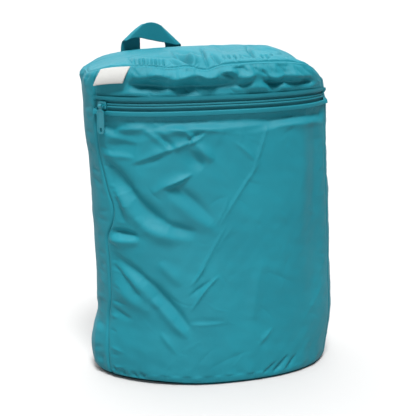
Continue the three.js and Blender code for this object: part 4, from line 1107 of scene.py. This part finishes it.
# Woven polyester with a thin polyurethane coating on its back: a close, smooth cloth.
# Its fine filaments give the folds a wide soft shine and pale the cloth where it is seen
# edge on, and handling leaves faint paler and darker clouds.
def coatedPolyester(name, color, paler, weave):
    material, tree, shader = newMaterial(name)
    place = {"Vector": (addNode(tree, "ShaderNodeTexCoord"), "Object")}
    clouds = addNode(
        tree, "ShaderNodeTexNoise", links=place,
        Scale=grains(polyester["clouds"]), Detail=3.0, Roughness=0.55,
    )
    grain = addNode(tree, "ShaderNodeTexNoise", links=place, Scale=grains(polyester["grain"]), Detail=2.0)
    crinkle = addNode(
        tree, "ShaderNodeTexNoise", links=place,
        Scale=grains(polyester["crinkle"]), Detail=3.0, Roughness=0.5, Distortion=0.8,
    )
    spread = addNode(
        tree, "ShaderNodeMapRange", links={"Value": (clouds, "Fac")}, From_Min=0.3, From_Max=0.7,
    )
    base = addNode(tree, "ShaderNodeMix", {"data_type": "RGBA"}, {"Factor": (spread, "Result")})
    base.inputs[6].default_value, base.inputs[7].default_value = linear(color), linear(paler)
    tree.links.new(base.outputs[2], shader.inputs["Base Color"])
    addRoughness(tree, shader, grain, *polyester["roughness"])
    setInputs(shader, polyester["sockets"])
    addBumps(tree, shader, [
        ((crinkle, "Fac"), *polyester["crinkleBump"]),
        ((threads(tree, weave), "Value"), *polyester["weaveBump"]),
    ])
    return material


paint = {
    "peel": 0.6667, "peelBump": (0.15, 0.05), "roughness": (0.32, 0.42),
    "sockets": {"Coat Weight": 0.1, "Coat Roughness": 0.25},
}


# Die-cast zinc under a satin paint in the cloth's colour: smooth, with a small hard
# shine on its edges
def paintedZinc(name, color):
    material, tree, shader = newMaterial(name)
    place = {"Vector": (addNode(tree, "ShaderNodeTexCoord"), "Object")}
    peel = addNode(tree, "ShaderNodeTexNoise", links=place, Scale=grains(paint["peel"]), Detail=2.0)
    setInputs(shader, {"Base Color": linear(color), **paint["sockets"]})
    addRoughness(tree, shader, peel, *paint["roughness"])
    addBumps(tree, shader, [((peel, "Fac"), *paint["peelBump"])])
    return material


thread = {"twist": 0.4, "twistBump": (0.3, 0.08), "roughness": (0.6, 0.8), "shine": 0.3}


# Spun polyester sewing thread in the cloth's colour: matt, with a fine twist
def sewingThread(name, color):
    material, tree, shader = newMaterial(name)
    place = {"Vector": (addNode(tree, "ShaderNodeTexCoord"), "Object")}
    twist = addNode(tree, "ShaderNodeTexNoise", links=place, Scale=grains(thread["twist"]), Detail=1.0)
    setInputs(shader, {"Base Color": linear(color), "Specular IOR Level": thread["shine"]})
    addRoughness(tree, shader, twist, *thread["roughness"])
    addBumps(tree, shader, [((twist, "Fac"), *thread["twistBump"])])
    return material


# Colours are about half as bright as the real ones, because the studio's light is strong
# enough to turn the floor white. The last value is the weave's spacing in mm.
threadMaterial = sewingThread("spunPolyesterThread", "#0a7482")
clothMaterial = coatedPolyester("coatedPolyesterCloth", "#03616e", "#076976", 0.65)
tapeMaterial = coatedPolyester("wovenPolyesterZipTape", "#055c68", "#07636f", 0.8)
labelMaterial = coatedPolyester("wovenSatinRibbon", "#8e8e8c", "#979795", 0.5)
metalMaterial = paintedZinc("paintedZincSlider", "#096774")
print("materials made")


def dress(piece, material):
    piece.data.materials.clear()
    piece.data.materials.append(material)


for piece, nodes, material, slot in [
    (frontPanel, ["front_panel"], clothMaterial, "cloth"),
    (frontYoke, ["front_yoke"], clothMaterial, "cloth"),
    (backPanel, ["back_panel"], clothMaterial, "cloth"),
    (topPanel, ["top_panel"], clothMaterial, "cloth"),
    (basePanel, ["base_panel"], clothMaterial, "cloth"),
    (zipTape, ["zip_tape_upper", "zip_tape_lower"], tapeMaterial, "zip_tape"),
    (zipCoil, ["zip_chain"], tapeMaterial, "zip_coil"),
    (handleStrap, ["handle_strap"], clothMaterial, "cloth"),
    (blankLabel, ["label"], labelMaterial, "label_cloth"),
]:
    dress(piece, material)
    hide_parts(*nodes)
    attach(piece, "bag")

dress(topstitching, threadMaterial)
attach(topstitching, "bag")

for node in ("zip_slider", "zip_pull"):
    dress(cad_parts[node], metalMaterial)
print("bag dressed")

studio = {
    "floorColor": "#9c9c9c", "floorSize": 14, "floorRoughness": 0.9, "floorShine": 0.1,   # grey, lit to white
    "horizon": 1.05, "sky": 0.26, "skyFrom": 0.02, "skyTo": 0.07,
    # Elevation, azimuth, angle in degrees and power of a soft light from high in front, and
    # of a wider, weaker one from high behind
    "suns": {"keySoftLight": (67, -4, 18, 6.2), "backSoftLight": (62, 188, 100, 4.2)},
    # Two weak low lights in front, one of them close, open the shade near the base
    "fills": {
        "farFill": {"place": (-0.5, -1.05, 0.3), "target": (0, 0, 0.03), "size": 0.5, "power": 1.2},
        "nearFill": {"place": (-0.12, -0.42, 0.05), "target": (-0.06, 0, 0.04), "size": 0.2, "power": 0.55},
    },
}
floorShape = bmesh.new()
bmesh.ops.create_grid(floorShape, x_segments=1, y_segments=1, size=studio["floorSize"])
floor = addPiece("studioFloor", floorShape)
floorMaterial, _, floorShader = newMaterial("mattPaperFloor")
setInputs(floorShader, {
    "Base Color": linear(studio["floorColor"]), "Roughness": studio["floorRoughness"],
    "Specular IOR Level": studio["floorShine"],
})
dress(floor, floorMaterial)

# The sky is white close to the horizon, where the floor ends, and a soft grey above
world = bpy.data.worlds.new("softStudio")
world.use_nodes = True
background = world.node_tree.nodes["Background"]
background.inputs["Color"].default_value = (1, 1, 1, 1)
skyPlace = addNode(world.node_tree, "ShaderNodeTexCoord")
skyHeight = addNode(world.node_tree, "ShaderNodeSeparateXYZ", links={"Vector": (skyPlace, "Generated")})
skyFade = addNode(
    world.node_tree, "ShaderNodeMapRange", links={"Value": (skyHeight, "Z")},
    From_Min=studio["skyFrom"], From_Max=studio["skyTo"], To_Min=studio["horizon"], To_Max=studio["sky"],
)
world.node_tree.links.new(skyFade.outputs["Result"], background.inputs["Strength"])
bpy.context.scene.world = world

for name, (elevation, azimuth, angle, power) in studio["suns"].items():
    lamp = bpy.data.lights.new(name, "SUN")
    lamp.energy = power
    lamp.angle = math.radians(angle)
    light = bpy.data.objects.new(name, lamp)
    light.rotation_euler = (math.radians(90 - elevation), 0, math.radians(azimuth))
    bpy.context.scene.collection.objects.link(light)


def aim(name, data, values):
    thing = bpy.data.objects.new(name, data)
    thing.location = values["place"]
    ahead = Vector(values["target"]) - Vector(values["place"])
    thing.rotation_euler = ahead.to_track_quat("-Z", "Y").to_euler()
    bpy.context.scene.collection.objects.link(thing)
    return thing


for name, fill in studio["fills"].items():
    lamp = bpy.data.lights.new(name, "AREA")
    lamp.shape = "DISK"
    lamp.size = fill["size"]
    lamp.energy = fill["power"]
    aim(name, lamp, fill)

view = {"place": (-0.26842, -1.2458, 0.5897), "target": (0, 0.017, 0.195), "lens": 92.73, "sensor": 36}
cameraData = bpy.data.cameras.new("camera")
cameraData.lens = view["lens"]
cameraData.sensor_width = view["sensor"]
bpy.context.scene.camera = aim("camera", cameraData, view)
bpy.context.scene.view_settings.view_transform = "Standard"
print("studio lit")

bpy.context.view_layer.update()
